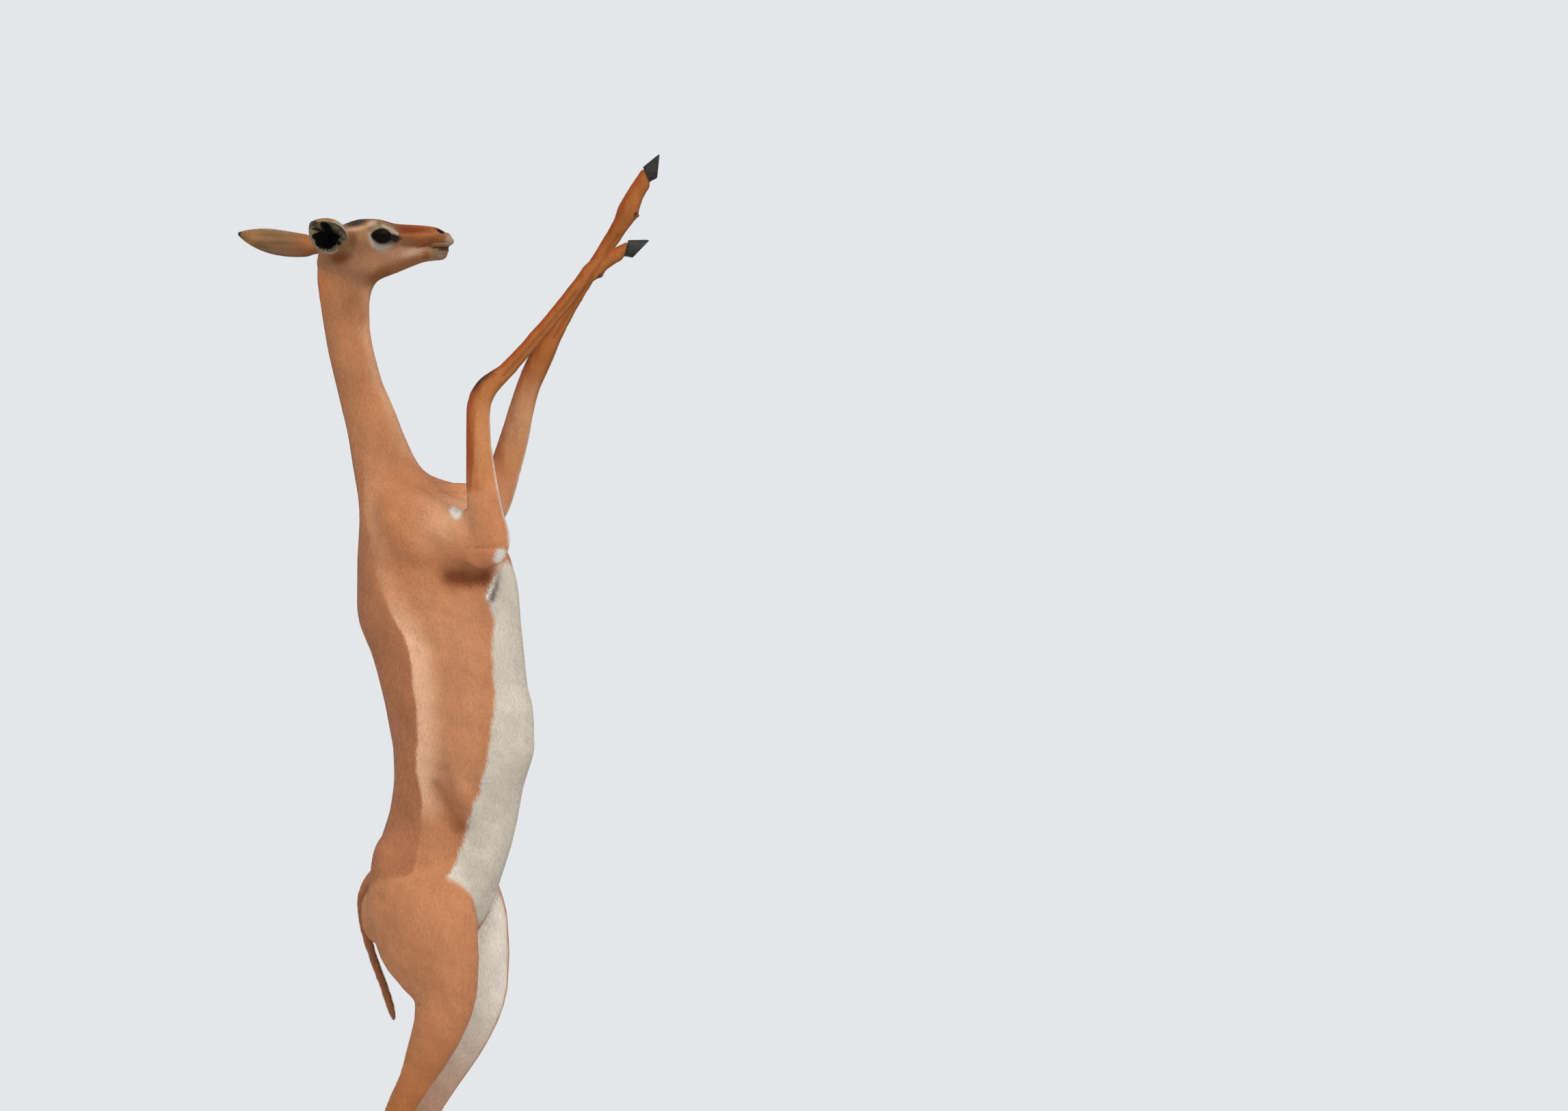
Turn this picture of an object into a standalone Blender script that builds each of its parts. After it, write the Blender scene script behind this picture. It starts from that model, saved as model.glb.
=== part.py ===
"""Gerenuk: a hornless female standing upright on its hind legs with both forelegs raised.

Metres, +Z up. +X is the way the head faces, +Y is the animal's left, and the hooves stand on z = 0.
The body is modelled whole from lofts and muscle blobs, fused by a voxel remesh, and then parted
with thin cuts into the head, neck, torso, tail and the lengths of each leg.
"""
import math

import bmesh
import bpy
import numpy as np
from mathutils import Matrix, Vector

# Cuts and meshes
GAP = 0.0003                # between neighbouring nodes
BODY_VOXEL = 0.0055
HEAD_VOXEL = 0.0023
BODY_TRIANGLES = 5200
HEAD_TRIANGLES = 4500
RING_POINTS = 28
SPLINE_STEPS = 5            # rings between two stations of a loft
BLOB_RINGS = 18
BALL_GRID = (20, 12)        # segments and rings of an eyeball
SOFT_STEPS = 40             # smoothing passes at the soft spots, for a body-sized voxel
EVEN_STEPS = 3              # and all over

# Trunk. The pelvis and chest are turned by YAW towards the right, and the neck turns it back.
YAW = math.radians(22)
MIDLINE_X = -0.010          # where the trunk's midline plane crosses y = 0

# Each row: height, back edge and belly edge seen square from the right, half width, yaw in degrees
TRUNK = (
    (0.650, -0.070, 0.020, 0.030, 22),
    (0.690, -0.100, 0.055, 0.060, 22),
    (0.735, -0.118, 0.080, 0.078, 22),
    (0.780, -0.122, 0.096, 0.087, 22),
    (0.820, -0.116, 0.109, 0.090, 22),
    (0.860, -0.105, 0.120, 0.086, 22),
    (0.890, -0.095, 0.126, 0.085, 22),
    (0.938, -0.087, 0.135, 0.090, 22),
    (0.989, -0.087, 0.151, 0.100, 22),
    (1.019, -0.091, 0.153, 0.104, 22),
    (1.070, -0.101, 0.150, 0.107, 22),
    (1.108, -0.110, 0.141, 0.107, 22),
    (1.157, -0.124, 0.136, 0.105, 22),
    (1.216, -0.147, 0.130, 0.100, 22),
    (1.280, -0.149, 0.124, 0.094, 22),
    (1.340, -0.148, 0.104, 0.085, 22),
    (1.385, -0.146, 0.070, 0.074, 22),
    (1.430, -0.149, 0.004, 0.060, 21),
    (1.476, -0.157, -0.041, 0.047, 19),
    (1.522, -0.164, -0.066, 0.041, 17),
    (1.568, -0.175, -0.084, 0.037, 14),
    (1.614, -0.186, -0.104, 0.034, 11),
    (1.660, -0.197, -0.117, 0.032, 8),
    (1.706, -0.205, -0.125, 0.031, 4),
    (1.752, -0.212, -0.124, 0.031, 0),
    (1.790, -0.217, -0.114, 0.032, 0),
    (1.822, -0.218, -0.120, 0.032, 0),
    (1.850, -0.209, -0.135, 0.029, 0),
)
NECK_BASE = 1.462           # the cut between neck and torso
NECK_TURN_HEIGHT = 1.568    # above it the midline no longer follows the trunk's plane
HEAD_Y = 0.055              # the head's midline plane

# Head. Each row: x, top, bottom, half width, and how much wider the upper half is than the lower
SKULL = (
    (-0.208, 1.858, 1.822, 0.014, 0.00),
    (-0.196, 1.869, 1.806, 0.027, 0.00),
    (-0.172, 1.880, 1.797, 0.034, 0.05),
    (-0.150, 1.888, 1.797, 0.036, 0.08),
    (-0.128, 1.890, 1.802, 0.038, 0.12),
    (-0.106, 1.888, 1.812, 0.037, 0.14),
    (-0.085, 1.882, 1.822, 0.031, 0.08),
    (-0.060, 1.880, 1.831, 0.0245, 0.00),
    (-0.036, 1.8785, 1.837, 0.0205, -0.05),
    (-0.015, 1.8755, 1.8405, 0.0190, -0.08),
    (0.001, 1.8675, 1.8420, 0.0175, -0.08),
    (0.011, 1.8595, 1.8430, 0.0140, 0.00),
    (0.0165, 1.8540, 1.8475, 0.0070, 0.00),
)
JAW = (
    (0.0085, 1.8405, 1.8340, 0.0060, 0.0),
    (0.0020, 1.8415, 1.8262, 0.0110, 0.0),
    (-0.012, 1.8420, 1.8180, 0.0145, 0.05),
    (-0.0345, 1.8440, 1.8145, 0.0155, 0.10),
    (-0.0575, 1.8470, 1.8060, 0.0190, 0.15),
    (-0.085, 1.8500, 1.7945, 0.0250, 0.20),
    (-0.106, 1.8500, 1.7855, 0.0290, 0.20),
    (-0.132, 1.8500, 1.7770, 0.0320, 0.10),
    (-0.160, 1.8450, 1.7760, 0.0320, 0.00),
)

# Eyes
EYE_X = -0.1052
EYE_Z = 1.8600
EYE_OUT = 0.0262            # from the midline plane to the eyeball's centre
EYE_RADIUS = 0.0175
LID = 0.0026                # lid thickness over the eyeball
LID_OPENING = (0.0325, 0.0235)
LID_TILT = math.radians(-6)

# Ears: the right one is turned towards -Y and opens wide, the left one points straight back
EAR_LENGTH = 0.156
EAR_WALL = 0.0022
EAR_POINTS = 10             # across the shell
EAR_ROOT = 0.020            # length of the stub that stays on the head

# Each row: share of the shell's length, radius, half of the C's arc in degrees, how hollow it is
EAR_ROWS = (
    (0.000, 0.0150, 166, 0.04),
    (0.040, 0.0158, 165, 0.10),
    (0.075, 0.0182, 163, 0.70),
    (0.150, 0.0222, 156, 1.00),
    (0.300, 0.0252, 140, 1.00),
    (0.450, 0.0258, 122, 1.00),
    (0.600, 0.0246, 106, 1.00),
    (0.750, 0.0205, 92, 1.00),
    (0.870, 0.0145, 82, 1.00),
    (0.950, 0.0085, 78, 1.00),
    (1.000, 0.0030, 76, 1.00),
)

# Forms on each side of the head: name, (x, out, z), half sizes, and the long axis with its out part
HEAD_FORMS = (
    ("lids", (EYE_X, EYE_OUT, EYE_Z), (EYE_RADIUS + LID,) * 3, (0, 0, 1)),
    ("brow", (EYE_X - 0.004, EYE_OUT - 0.004, EYE_Z + 0.009), (0.024, 0.017, 0.014), (1, 0, -0.1)),
    ("cheekbone", (EYE_X + 0.004, EYE_OUT - 0.004, EYE_Z - 0.016), (0.034, 0.013, 0.011), (1, -0.2, 0.1)),
    ("jaw_muscle", (-0.132, 0.0200, 1.8125), (0.031, 0.0160, 0.026), (0.35, 0, 1)),
    ("nose_pad", (-0.002, 0.0088, 1.8605), (0.0155, 0.0092, 0.0095), (1, 0, -0.45)),
    ("upper_lip", (-0.006, 0.0105, 1.8465), (0.0190, 0.0082, 0.0060), (1, -0.22, 0.02)),
)
CHIN = ((-0.0095, HEAD_Y, 1.8270), (0.0150, 0.0125, 0.0098), (1, 0, 0.1))
EAR_ROOT_FORM = (0.026, 0.0165, 0.0165)

# Lines of the face as x, out, z: each is pushed in or out along the skin, with its width and height
MOUTH_LINE = (
    (0.0155, 0.0, 1.8418),
    (0.0125, 0.010, 1.8418),
    (0.000, 0.0165, 1.8412),
    (-0.019, 0.019, 1.8408),
    (-0.034, 0.020, 1.8420),
    (-0.046, 0.022, 1.8412),
)
NOSTRIL = (
    (-0.0130, 0.0115, 1.8725),
    (-0.0060, 0.0135, 1.8705),
    (0.0015, 0.0130, 1.8650),
    (0.0045, 0.0100, 1.8615),
)
LOWER_LIP = (
    (0.008, 0.0080, 1.8375),
    (-0.004, 0.0135, 1.8370),
    (-0.020, 0.0160, 1.8380),
)
EYE_CORNER = (
    (-0.0860, 0.0370, 1.8575),
    (-0.0780, 0.0330, 1.8545),
    (-0.0720, 0.0300, 1.8530),
)
FACE_LINES = (
    (LOWER_LIP, 0.0035, 0.0010),
    (MOUTH_LINE, 0.0022, -0.0034),
    (NOSTRIL, 0.0030, -0.0075),
    (EYE_CORNER, 0.0026, -0.0022),
)
LID_RIM = (1.22, 0.0022, 0.0009)   # scale of the ring about the opening, and its width and height

# Legs, as rows of x, y, z, half depth (in the leg's own plane) and half width
RIGHT_FORE = (
    (0.050, -0.100, 1.322, 0.030, 0.026),
    (0.078, -0.122, 1.347, 0.036, 0.030),
    (0.071, -0.127, 1.400, 0.0315, 0.027),
    (0.0660, -0.127, 1.438, 0.0288, 0.0250),
    (0.0605, -0.125, 1.504, 0.0235, 0.0210),
    (0.0590, -0.123, 1.548, 0.0215, 0.0190),
    (0.0600, -0.121, 1.580, 0.0218, 0.0185),
    (0.0695, -0.119, 1.604, 0.0210, 0.0190),
    (0.0875, -0.117, 1.6225, 0.0180, 0.0165),
    (0.1095, -0.115, 1.6415, 0.0148, 0.0130),
    (0.1780, -0.110, 1.7190, 0.0138, 0.0115),
    (0.2310, -0.106, 1.7840, 0.0143, 0.0130),
    (0.2510, -0.105, 1.8060, 0.0170, 0.0160),
    (0.2780, -0.104, 1.8245, 0.0140, 0.0145),
    (0.3060, -0.103, 1.8385, 0.0138, 0.0155),
    (0.3260, -0.102, 1.8485, 0.0130, 0.0150),
)
LEFT_FORE = (
    (0.052, 0.055, 1.385, 0.028, 0.026),
    (0.074, 0.062, 1.398, 0.0310, 0.028),
    (0.0870, 0.062, 1.425, 0.0305, 0.027),
    (0.1020, 0.060, 1.470, 0.0285, 0.0245),
    (0.1175, 0.056, 1.5215, 0.0260, 0.0220),
    (0.1275, 0.052, 1.563, 0.0232, 0.0200),
    (0.1400, 0.048, 1.6054, 0.0215, 0.0185),
    (0.1560, 0.044, 1.6430, 0.0222, 0.0188),
    (0.1720, 0.041, 1.6730, 0.0195, 0.0170),
    (0.1900, 0.038, 1.7040, 0.0150, 0.0132),
    (0.2200, 0.032, 1.7570, 0.0140, 0.0118),
    (0.2600, 0.024, 1.8220, 0.0142, 0.0115),
    (0.2950, 0.017, 1.8765, 0.0160, 0.0132),
    (0.3075, 0.014, 1.9010, 0.0195, 0.0170),
    (0.3220, 0.011, 1.9320, 0.0160, 0.0158),
    (0.3400, 0.008, 1.9600, 0.0150, 0.0165),
    (0.3520, 0.006, 1.9800, 0.0135, 0.0155),
)
# Hind legs in the trunk's own plane: forward of the midline point, height, half depth, half width
HIND = (
    (-0.020, 0.790, 0.085, 0.036),
    (-0.004, 0.735, 0.095, 0.054),
    (0.012, 0.680, 0.092, 0.055),
    (0.032, 0.630, 0.076, 0.049),
    (0.044, 0.585, 0.057, 0.041),
    (0.036, 0.540, 0.047, 0.034),
    (0.018, 0.495, 0.040, 0.029),
    (-0.008, 0.440, 0.029, 0.023),
    (-0.033, 0.390, 0.0225, 0.018),
    (-0.050, 0.350, 0.0235, 0.0185),
    (-0.052, 0.315, 0.0215, 0.0170),
    (-0.046, 0.270, 0.0155, 0.0130),
    (-0.036, 0.200, 0.0138, 0.0115),
    (-0.026, 0.130, 0.0142, 0.0130),
    (-0.020, 0.098, 0.0180, 0.0170),
    (-0.006, 0.068, 0.0152, 0.0155),
    (0.008, 0.042, 0.0160, 0.0170),
    (0.018, 0.020, 0.0150, 0.0160),
)
HIP_OUT = 0.066             # of each leg's plane from the midline at the hip
FOOT_OUT = 0.078            # and at the hoof
RIGHT_STEP = 0.012          # the right foot is this far ahead of the left at the ground
HIND_SHIFT = -0.021         # both feet, to bring them under the animal's weight

CROTCH = 0.700              # height of the line where the two hip cuts meet
HIP_CUT_MIDDLE = 0.0155     # forward of the midline point, and its reach either way, clear of the tail
HIP_CUT_REACH = 0.139

# Cuts across the legs: the row each goes through and how far it reaches from the leg's middle
RIGHT_FORE_CUTS = ((3, 0.044), (7, 0.036), (11, 0.026))
LEFT_FORE_CUTS = ((3, 0.044), (7, 0.036), (12, 0.026))
HIND_CUTS = ((5, 0.075), (9, 0.048), (13, 0.026))
TAIL_CUT = (2, 0.017)
RIGHT_FETLOCK_ROW = 12
LEFT_FETLOCK_ROW = 13
CALF_ROW = 6
HOCK_ROW = 9
HIND_FETLOCK_ROW = 14
DEWCLAW = (0.0085, 0.0052, 0.0055)
DEWCLAW_SPREAD = 0.009

# Muscles of the chest and upper arms: start, end, thickness, thickness across
MUSCLES = (
    ((-0.020, -0.083, 1.372), (0.078, -0.112, 1.350), 0.044, 0.034),
    ((-0.085, -0.045, 1.400), (0.005, -0.088, 1.350), 0.062, 0.030),
    ((-0.030, 0.062, 1.418), (0.078, 0.062, 1.404), 0.037, 0.032),
    ((-0.066, 0.040, 1.452), (0.012, 0.058, 1.432), 0.020, 0.020),
    ((-0.060, 0.092, 1.390), (0.010, 0.080, 1.350), 0.058, 0.026),
    ((0.078, -0.122, 1.345), (0.092, -0.118, 1.332), 0.0135, 0.014),
    ((0.078, 0.062, 1.392), (0.088, 0.062, 1.386), 0.013, 0.013),
    ((0.000, 0.000, 1.395), (0.075, -0.030, 1.340), 0.045, 0.062),
)
MUSCLE_ROUNDING = 0.6       # how far a muscle runs past its ends, in thicknesses

# Haunches in the trunk's own axes: forward, out, height, half sizes, and how far the long axis leans
RUMP = ((-0.054, 0.048, 0.778), (0.088, 0.040, 0.050), (-0.10, 0, 1))
BUTTOCK = ((-0.086, 0.046, 0.722), (0.056, 0.032, 0.036), (0, 0, 1))

# Tail, hidden from the front: it hangs in the cleft behind the buttocks
TAIL = (
    (-0.080, 0.806, 0.016, 0.015),
    (-0.116, 0.788, 0.0140, 0.0130),
    (-0.135, 0.762, 0.0115, 0.0110),
    (-0.140, 0.730, 0.0100, 0.0100),
    (-0.134, 0.688, 0.0088, 0.0090),
    (-0.118, 0.640, 0.0080, 0.0085),
    (-0.100, 0.595, 0.0080, 0.0090),
    (-0.086, 0.556, 0.0070, 0.0080),
    (-0.081, 0.538, 0.0035, 0.0040),
)

# Raised feet: middle of each coronet, and the sole's slope towards the toe
RIGHT_CORONET = (0.3070, -0.103, 1.8435)
RIGHT_SOLE = math.radians(46)
LEFT_CORONET = (0.3390, 0.0072, 1.9650)
LEFT_SOLE = math.radians(84)

# Hooves: sizes of one claw
CLAW_LENGTH = 0.042
CLAW_WIDTH = 0.0175
CLAW_HEIGHT = 0.0195         # at the middle of the coronet
CORONET_RISE = 0.60         # the coronet climbs towards the toe
CLAW_SPREAD = 0.0093        # from the foot's midline to the claw's
CLAW_LEAN = 0.0075          # the sole lies this far towards the toe from under the coronet
CLAW_POINTS = 14
CLAW_TOE_TAPER = 0.45
CLAW_INNER_SIDE = 0.72      # the side towards the other claw is flatter
CORONET_BLOCK = (0.025, 0.035, 0.032)

# Each level of a claw: share of the height, toe and heel ends in claw lengths, half width in claw widths
CLAW_LEVELS = (
    (0.00, 0.66, -0.30, 0.47),
    (0.12, 0.67, -0.32, 0.50),
    (0.55, 0.46, -0.33, 0.50),
    (1.00, 0.26, -0.32, 0.47),
)

# The cut between head and neck: a point on it and its normal, and a block that covers one side
NECK_CUT = (Vector((-0.168, HEAD_Y, 1.7905)), Vector((0.375, 0, 0.927)))
HALF_SPACE = (0.15, 0.3, 0.3)
NECK_BASE_CUT = (Vector((-0.097, 0.035, NECK_BASE)), 0.085, 0.078)
EAR_CUT_REACH = 0.030
ANCHOR_REACH = 0.12         # a piece belongs to no node when its middle is farther off than this

# Colours and roughness
FLANK = ((0.55, 0.29, 0.15), 0.85)
FACE = ((0.45, 0.24, 0.13), 0.85)
INNER_EAR = ((0.42, 0.28, 0.18), 0.85)
EYE = ((0.012, 0.009, 0.008), 0.08)
HOOF = ((0.035, 0.030, 0.027), 0.45)


def clear_scene():
    for thing in list(bpy.data.objects):
        bpy.data.objects.remove(thing, do_unlink=True)


def trunk_point(forward, left, height):
    """A point given along the turned trunk's own axes."""
    x = MIDLINE_X + forward * math.cos(YAW) + left * math.sin(YAW)
    y = -forward * math.sin(YAW) + left * math.cos(YAW)
    return Vector((x, y, height))


def trunk_way(forward, left):
    """A level direction along the turned trunk's own axes."""
    return trunk_point(forward, left, 0) - trunk_point(0, 0, 0)


def smooth_rows(rows, steps=SPLINE_STEPS):
    """Catmull-Rom rows between the given ones."""
    rows = [np.array(row, float) for row in rows]
    rows = [2 * rows[0] - rows[1]] + rows + [2 * rows[-1] - rows[-2]]
    out = []
    for a, b, c, d in zip(rows, rows[1:], rows[2:], rows[3:]):
        for step in range(steps):
            t = step / steps
            out.append(0.5 * (2 * b + (c - a) * t + (2 * a - 5 * b + 4 * c - d) * t ** 2
                              + (3 * b - a - 3 * c + d) * t ** 3))
    out.append(rows[-2])
    return out


def make_object(name, vertices, faces):
    mesh = bpy.data.meshes.new(name)
    mesh.from_pydata([tuple(v) for v in vertices], [], faces)
    thing = bpy.data.objects.new(name, mesh)
    bpy.context.collection.objects.link(thing)
    return thing


def object_from(name, work):
    mesh = bpy.data.meshes.new(name)
    work.to_mesh(mesh)
    work.free()
    thing = bpy.data.objects.new(name, mesh)
    bpy.context.collection.objects.link(thing)
    return thing


def orient_outwards(thing):
    work = bmesh.new()
    work.from_mesh(thing.data)
    bmesh.ops.remove_doubles(work, verts=work.verts, dist=1e-6)
    bmesh.ops.recalc_face_normals(work, faces=work.faces)
    bmesh.ops.triangulate(work, faces=[face for face in work.faces if len(face.verts) > 4])
    if work.calc_volume(signed=True) < 0:
        bmesh.ops.reverse_faces(work, faces=work.faces)
    work.to_mesh(thing.data)
    work.free()
    return thing


def loft(name, rings):
    """Skin equal rings of points and close both ends."""
    count = len(rings[0])
    vertices = [point for ring in rings for point in ring]
    faces = []
    for row in range(len(rings) - 1):
        for i in range(count):
            j = (i + 1) % count
            base = row * count
            faces.append((base + i, base + j, base + count + j, base + count + i))
    faces.append(tuple(range(count))[::-1])
    last = (len(rings) - 1) * count
    faces.append(tuple(last + i for i in range(count)))
    return orient_outwards(make_object(name, vertices, faces))


def oval(centre, across, up, half_across, half_up, egg=0.0, count=RING_POINTS):
    """An oval ring; a positive egg makes the half towards up the wider one."""
    points = []
    for i in range(count):
        angle = 2 * math.pi * i / count
        width = half_across * (1 + egg * math.sin(angle))
        points.append(centre + across * (width * math.cos(angle)) + up * (half_up * math.sin(angle)))
    return points


def trunk_and_neck():
    """One loft from the pelvis to the poll. Edges seen square on give each oval's true depth."""
    rings = []
    for height, back, belly, half_width, degrees in smooth_rows(TRUNK):
        yaw = math.radians(degrees)
        centre_x = (back + belly) / 2
        half_seen = (belly - back) / 2
        half_depth = math.sqrt(half_seen ** 2 - (half_width * math.sin(yaw)) ** 2) / math.cos(yaw)
        trunk_y = -(centre_x - MIDLINE_X) * math.tan(YAW)
        rise = min(1.0, max(0.0, (height - NECK_TURN_HEIGHT + 0.10) / 0.16))
        centre = Vector((centre_x, trunk_y + (HEAD_Y - trunk_y) * rise, height))
        belly_way = Vector((math.cos(yaw), -math.sin(yaw), 0))
        left_way = Vector((math.sin(yaw), math.cos(yaw), 0))
        rings.append(oval(centre, left_way, -belly_way, half_width, half_depth))
    return loft("trunk", rings)


def head_loft(name, rows):
    rings = []
    for x, top, bottom, half_width, egg in smooth_rows(rows):
        centre = Vector((x, HEAD_Y, (top + bottom) / 2))
        rings.append(oval(centre, Vector((0, 1, 0)), Vector((0, 0, 1)), half_width, (top - bottom) / 2, egg))
    return loft(name, rings)


def limb(name, rows, side):
    """A tube along rows of x, y, z, half depth and half width; side is its width's direction."""
    rows = smooth_rows(rows)
    rings = []
    for i, row in enumerate(rows):
        before = Vector(rows[max(i - 1, 0)][:3])
        after = Vector(rows[min(i + 1, len(rows) - 1)][:3])
        along = (after - before).normalized()
        across = (side - along * side.dot(along)).normalized()
        front = along.cross(across)
        rings.append(oval(Vector(row[:3]), across, front, row[4], row[3]))
    return loft(name, rings)


def blob(name, centre, sizes, along=(0, 0, 1), side=(0, 1, 0)):
    """An ellipsoid with half sizes along, across to the side, and across the third way."""
    along = Vector(along).normalized()
    side = Vector(side)
    side = (side - along * side.dot(along)).normalized()
    third = along.cross(side)
    work = bmesh.new()
    bmesh.ops.create_uvsphere(work, u_segments=RING_POINTS, v_segments=BLOB_RINGS, radius=1.0)
    turn = Matrix((along * sizes[0], side * sizes[1], third * sizes[2])).transposed()
    for vertex in work.verts:
        vertex.co = turn @ vertex.co + Vector(centre)
    return orient_outwards(object_from(name, work))


def rod_blob(name, start, end, thick, side_thick, side=(0, 1, 0)):
    """A muscle from start to end, rounded past both."""
    start = Vector(start)
    end = Vector(end)
    half = (end - start).length / 2
    return blob(name, (start + end) / 2, (half + thick * MUSCLE_ROUNDING, side_thick, thick), end - start, side)


def hind_rows(left_sign):
    """The hind leg's rows in space, with the feet spread and stepped from the hip down."""
    hip = HIND[0][1]
    rows = []
    for forward, height, half_depth, half_width in HIND:
        fall = (hip - height) / hip
        out = HIP_OUT + (FOOT_OUT - HIP_OUT) * fall
        step = HIND_SHIFT * fall - left_sign * RIGHT_STEP / 2 * fall
        point = trunk_point(forward + step, left_sign * out, height)
        rows.append((*point, half_depth, half_width))
    return rows


def tail_rows():
    return [(*trunk_point(forward, 0, height), depth, width) for forward, height, depth, width in TAIL]


def head_parts():
    parts = [head_loft("skull", SKULL), head_loft("jaw", JAW), blob("chin", *CHIN)]
    for sign in (-1, 1):
        for name, (x, out, z), sizes, along in HEAD_FORMS:
            centre = (x, HEAD_Y + sign * out, z)
            parts.append(blob(name, centre, sizes, (along[0], sign * along[1], along[2]), (0, sign, 0)))
        base, tip_way = ear_frame(sign)[:2]
        parts.append(blob("ear_root", base + tip_way * 0.004, EAR_ROOT_FORM, tip_way, (0, 0, 1)))
    return parts


def ear_frame(sign):
    """Base point, the ways to the tip and that the cup opens, scale, the tip's curl, and the back's.

    The last is 0 where the shell narrows about its middle, and 1 where its back runs on straight
    and only its sides close in, so that from the front its inside shows out to the tip.
    """
    if sign < 0:
        base = Vector((-0.181, HEAD_Y - 0.026, 1.8540))
        tip_way = Vector((-0.14, -0.965, 0.09)).normalized()
        open_way = Vector((0.70, -0.25, -0.66))
        scale = 1.17
        curl = Vector((0.0, 0.0, 0.0))
        straight = 0.85
    else:
        base = Vector((-0.196, HEAD_Y + 0.027, 1.8420))
        tip_way = Vector((-0.985, 0.16, 0.02)).normalized()
        open_way = Vector((0.16, 0.95, 0.22))
        scale = 0.88
        curl = Vector((0.0, 0.006, 0.0175))
        straight = 0.0
    open_way = (open_way - tip_way * open_way.dot(tip_way)).normalized()
    return base, tip_way, open_way, scale, curl, straight


def dewclaws(fetlock, down, left_way):
    """The two small claws behind a fetlock."""
    return [blob("dewclaw", fetlock + left_way * (DEWCLAW_SPREAD * sign), DEWCLAW, down, left_way)
            for sign in (-1, 1)]


def haunch_and_hind_leg(sign):
    left_way = trunk_way(0, 1)
    back = trunk_way(-1, 0)
    rows = hind_rows(sign)
    parts = [limb("hind", rows, left_way)]
    for (forward, out, height), sizes, along in (RUMP, BUTTOCK):
        parts.append(blob("haunch", trunk_point(forward, sign * out, height), sizes, along, left_way))
    hock = Vector(rows[HOCK_ROW][:3])
    heel = hock + back * 0.019 + Vector((0, 0, 0.016))
    parts.append(rod_blob("hock", hock + back * 0.002 + Vector((0, 0, -0.012)), heel, 0.011, 0.011))
    calf = Vector(rows[CALF_ROW][:3]) + back * 0.026
    parts.append(rod_blob("tendon", hock + back * 0.020 + Vector((0, 0, 0.012)), calf, 0.0075, 0.0070))
    fetlock = Vector(rows[HIND_FETLOCK_ROW][:3]) + back * 0.017 + Vector((0, 0, -0.008))
    return parts + dewclaws(fetlock, Vector((-0.4, 0, -1)), left_way)


def body_parts():
    left_way = trunk_way(0, 1)
    parts = [trunk_and_neck()]
    for start, end, thick, side_thick in MUSCLES:
        parts.append(rod_blob("muscle", start, end, thick, side_thick))
    for sign in (-1, 1):
        parts += haunch_and_hind_leg(sign)
    for rows, fetlock_row, down in (
        (RIGHT_FORE, RIGHT_FETLOCK_ROW, Vector((0.70, 0, -0.71))),
        (LEFT_FORE, LEFT_FETLOCK_ROW, Vector((0.88, 0, -0.47))),
    ):
        parts.append(limb("fore", rows, left_way))
        parts += dewclaws(Vector(rows[fetlock_row][:3]) + down * 0.015, down, left_way)
    parts.append(limb("tail", tail_rows(), left_way))
    return parts


# Where neighbouring forms run into each other softly: centre, radius
SOFT_SPOTS = (
    ((-0.125, HEAD_Y, 1.772), 0.050),
    ((-0.205, HEAD_Y, 1.835), 0.050),
    ((-0.045, 0.010, 1.440), 0.075),
    ((0.020, -0.080, 1.395), 0.075),
    ((0.040, 0.060, 1.410), 0.065),
    ((-0.080, -0.060, 1.330), 0.090),
    ((0.010, -0.090, 1.310), 0.080),
    ((-0.010, 0.090, 1.330), 0.090),
    ((-0.060, -0.060, 0.850), 0.090),
    ((-0.060, 0.060, 0.850), 0.090),
    ((0.060, -0.110, 0.780), 0.080),
    ((0.080, 0.050, 0.780), 0.080),
    ((-0.120, 0.045, 0.800), 0.050),
    ((-0.060, 0.000, 0.680), 0.070),
    ((-0.085, HEAD_Y - 0.030, 1.828), 0.030),
    ((-0.085, HEAD_Y + 0.030, 1.828), 0.030),
    ((-0.135, HEAD_Y - 0.034, 1.805), 0.040),
    ((-0.135, HEAD_Y + 0.034, 1.805), 0.040),
    ((-0.040, 0.055, 1.455), 0.050),
    ((-0.095, -0.045, 1.412), 0.075),
    ((-0.035, -0.065, 1.432), 0.065),
    ((-0.080, 0.085, 1.415), 0.080),
    ((-0.120, -0.030, 0.790), 0.060),
    ((0.075, -0.115, 1.325), 0.030),
)


def join(name, things):
    work = bmesh.new()
    for thing in things:
        work.from_mesh(thing.data)
        bpy.data.objects.remove(thing)
    return object_from(name, work)


def bake_modifiers(thing):
    graph = bpy.context.evaluated_depsgraph_get()
    mesh = bpy.data.meshes.new_from_object(thing.evaluated_get(graph))
    thing.modifiers.clear()
    thing.data = mesh
    return thing


def coordinates(mesh):
    flat = np.empty(len(mesh.vertices) * 3)
    mesh.vertices.foreach_get("co", flat)
    return flat.reshape(-1, 3)


def vertex_normals(mesh):
    flat = np.empty(len(mesh.vertices) * 3)
    mesh.vertices.foreach_get("normal", flat)
    return flat.reshape(-1, 3)


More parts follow.
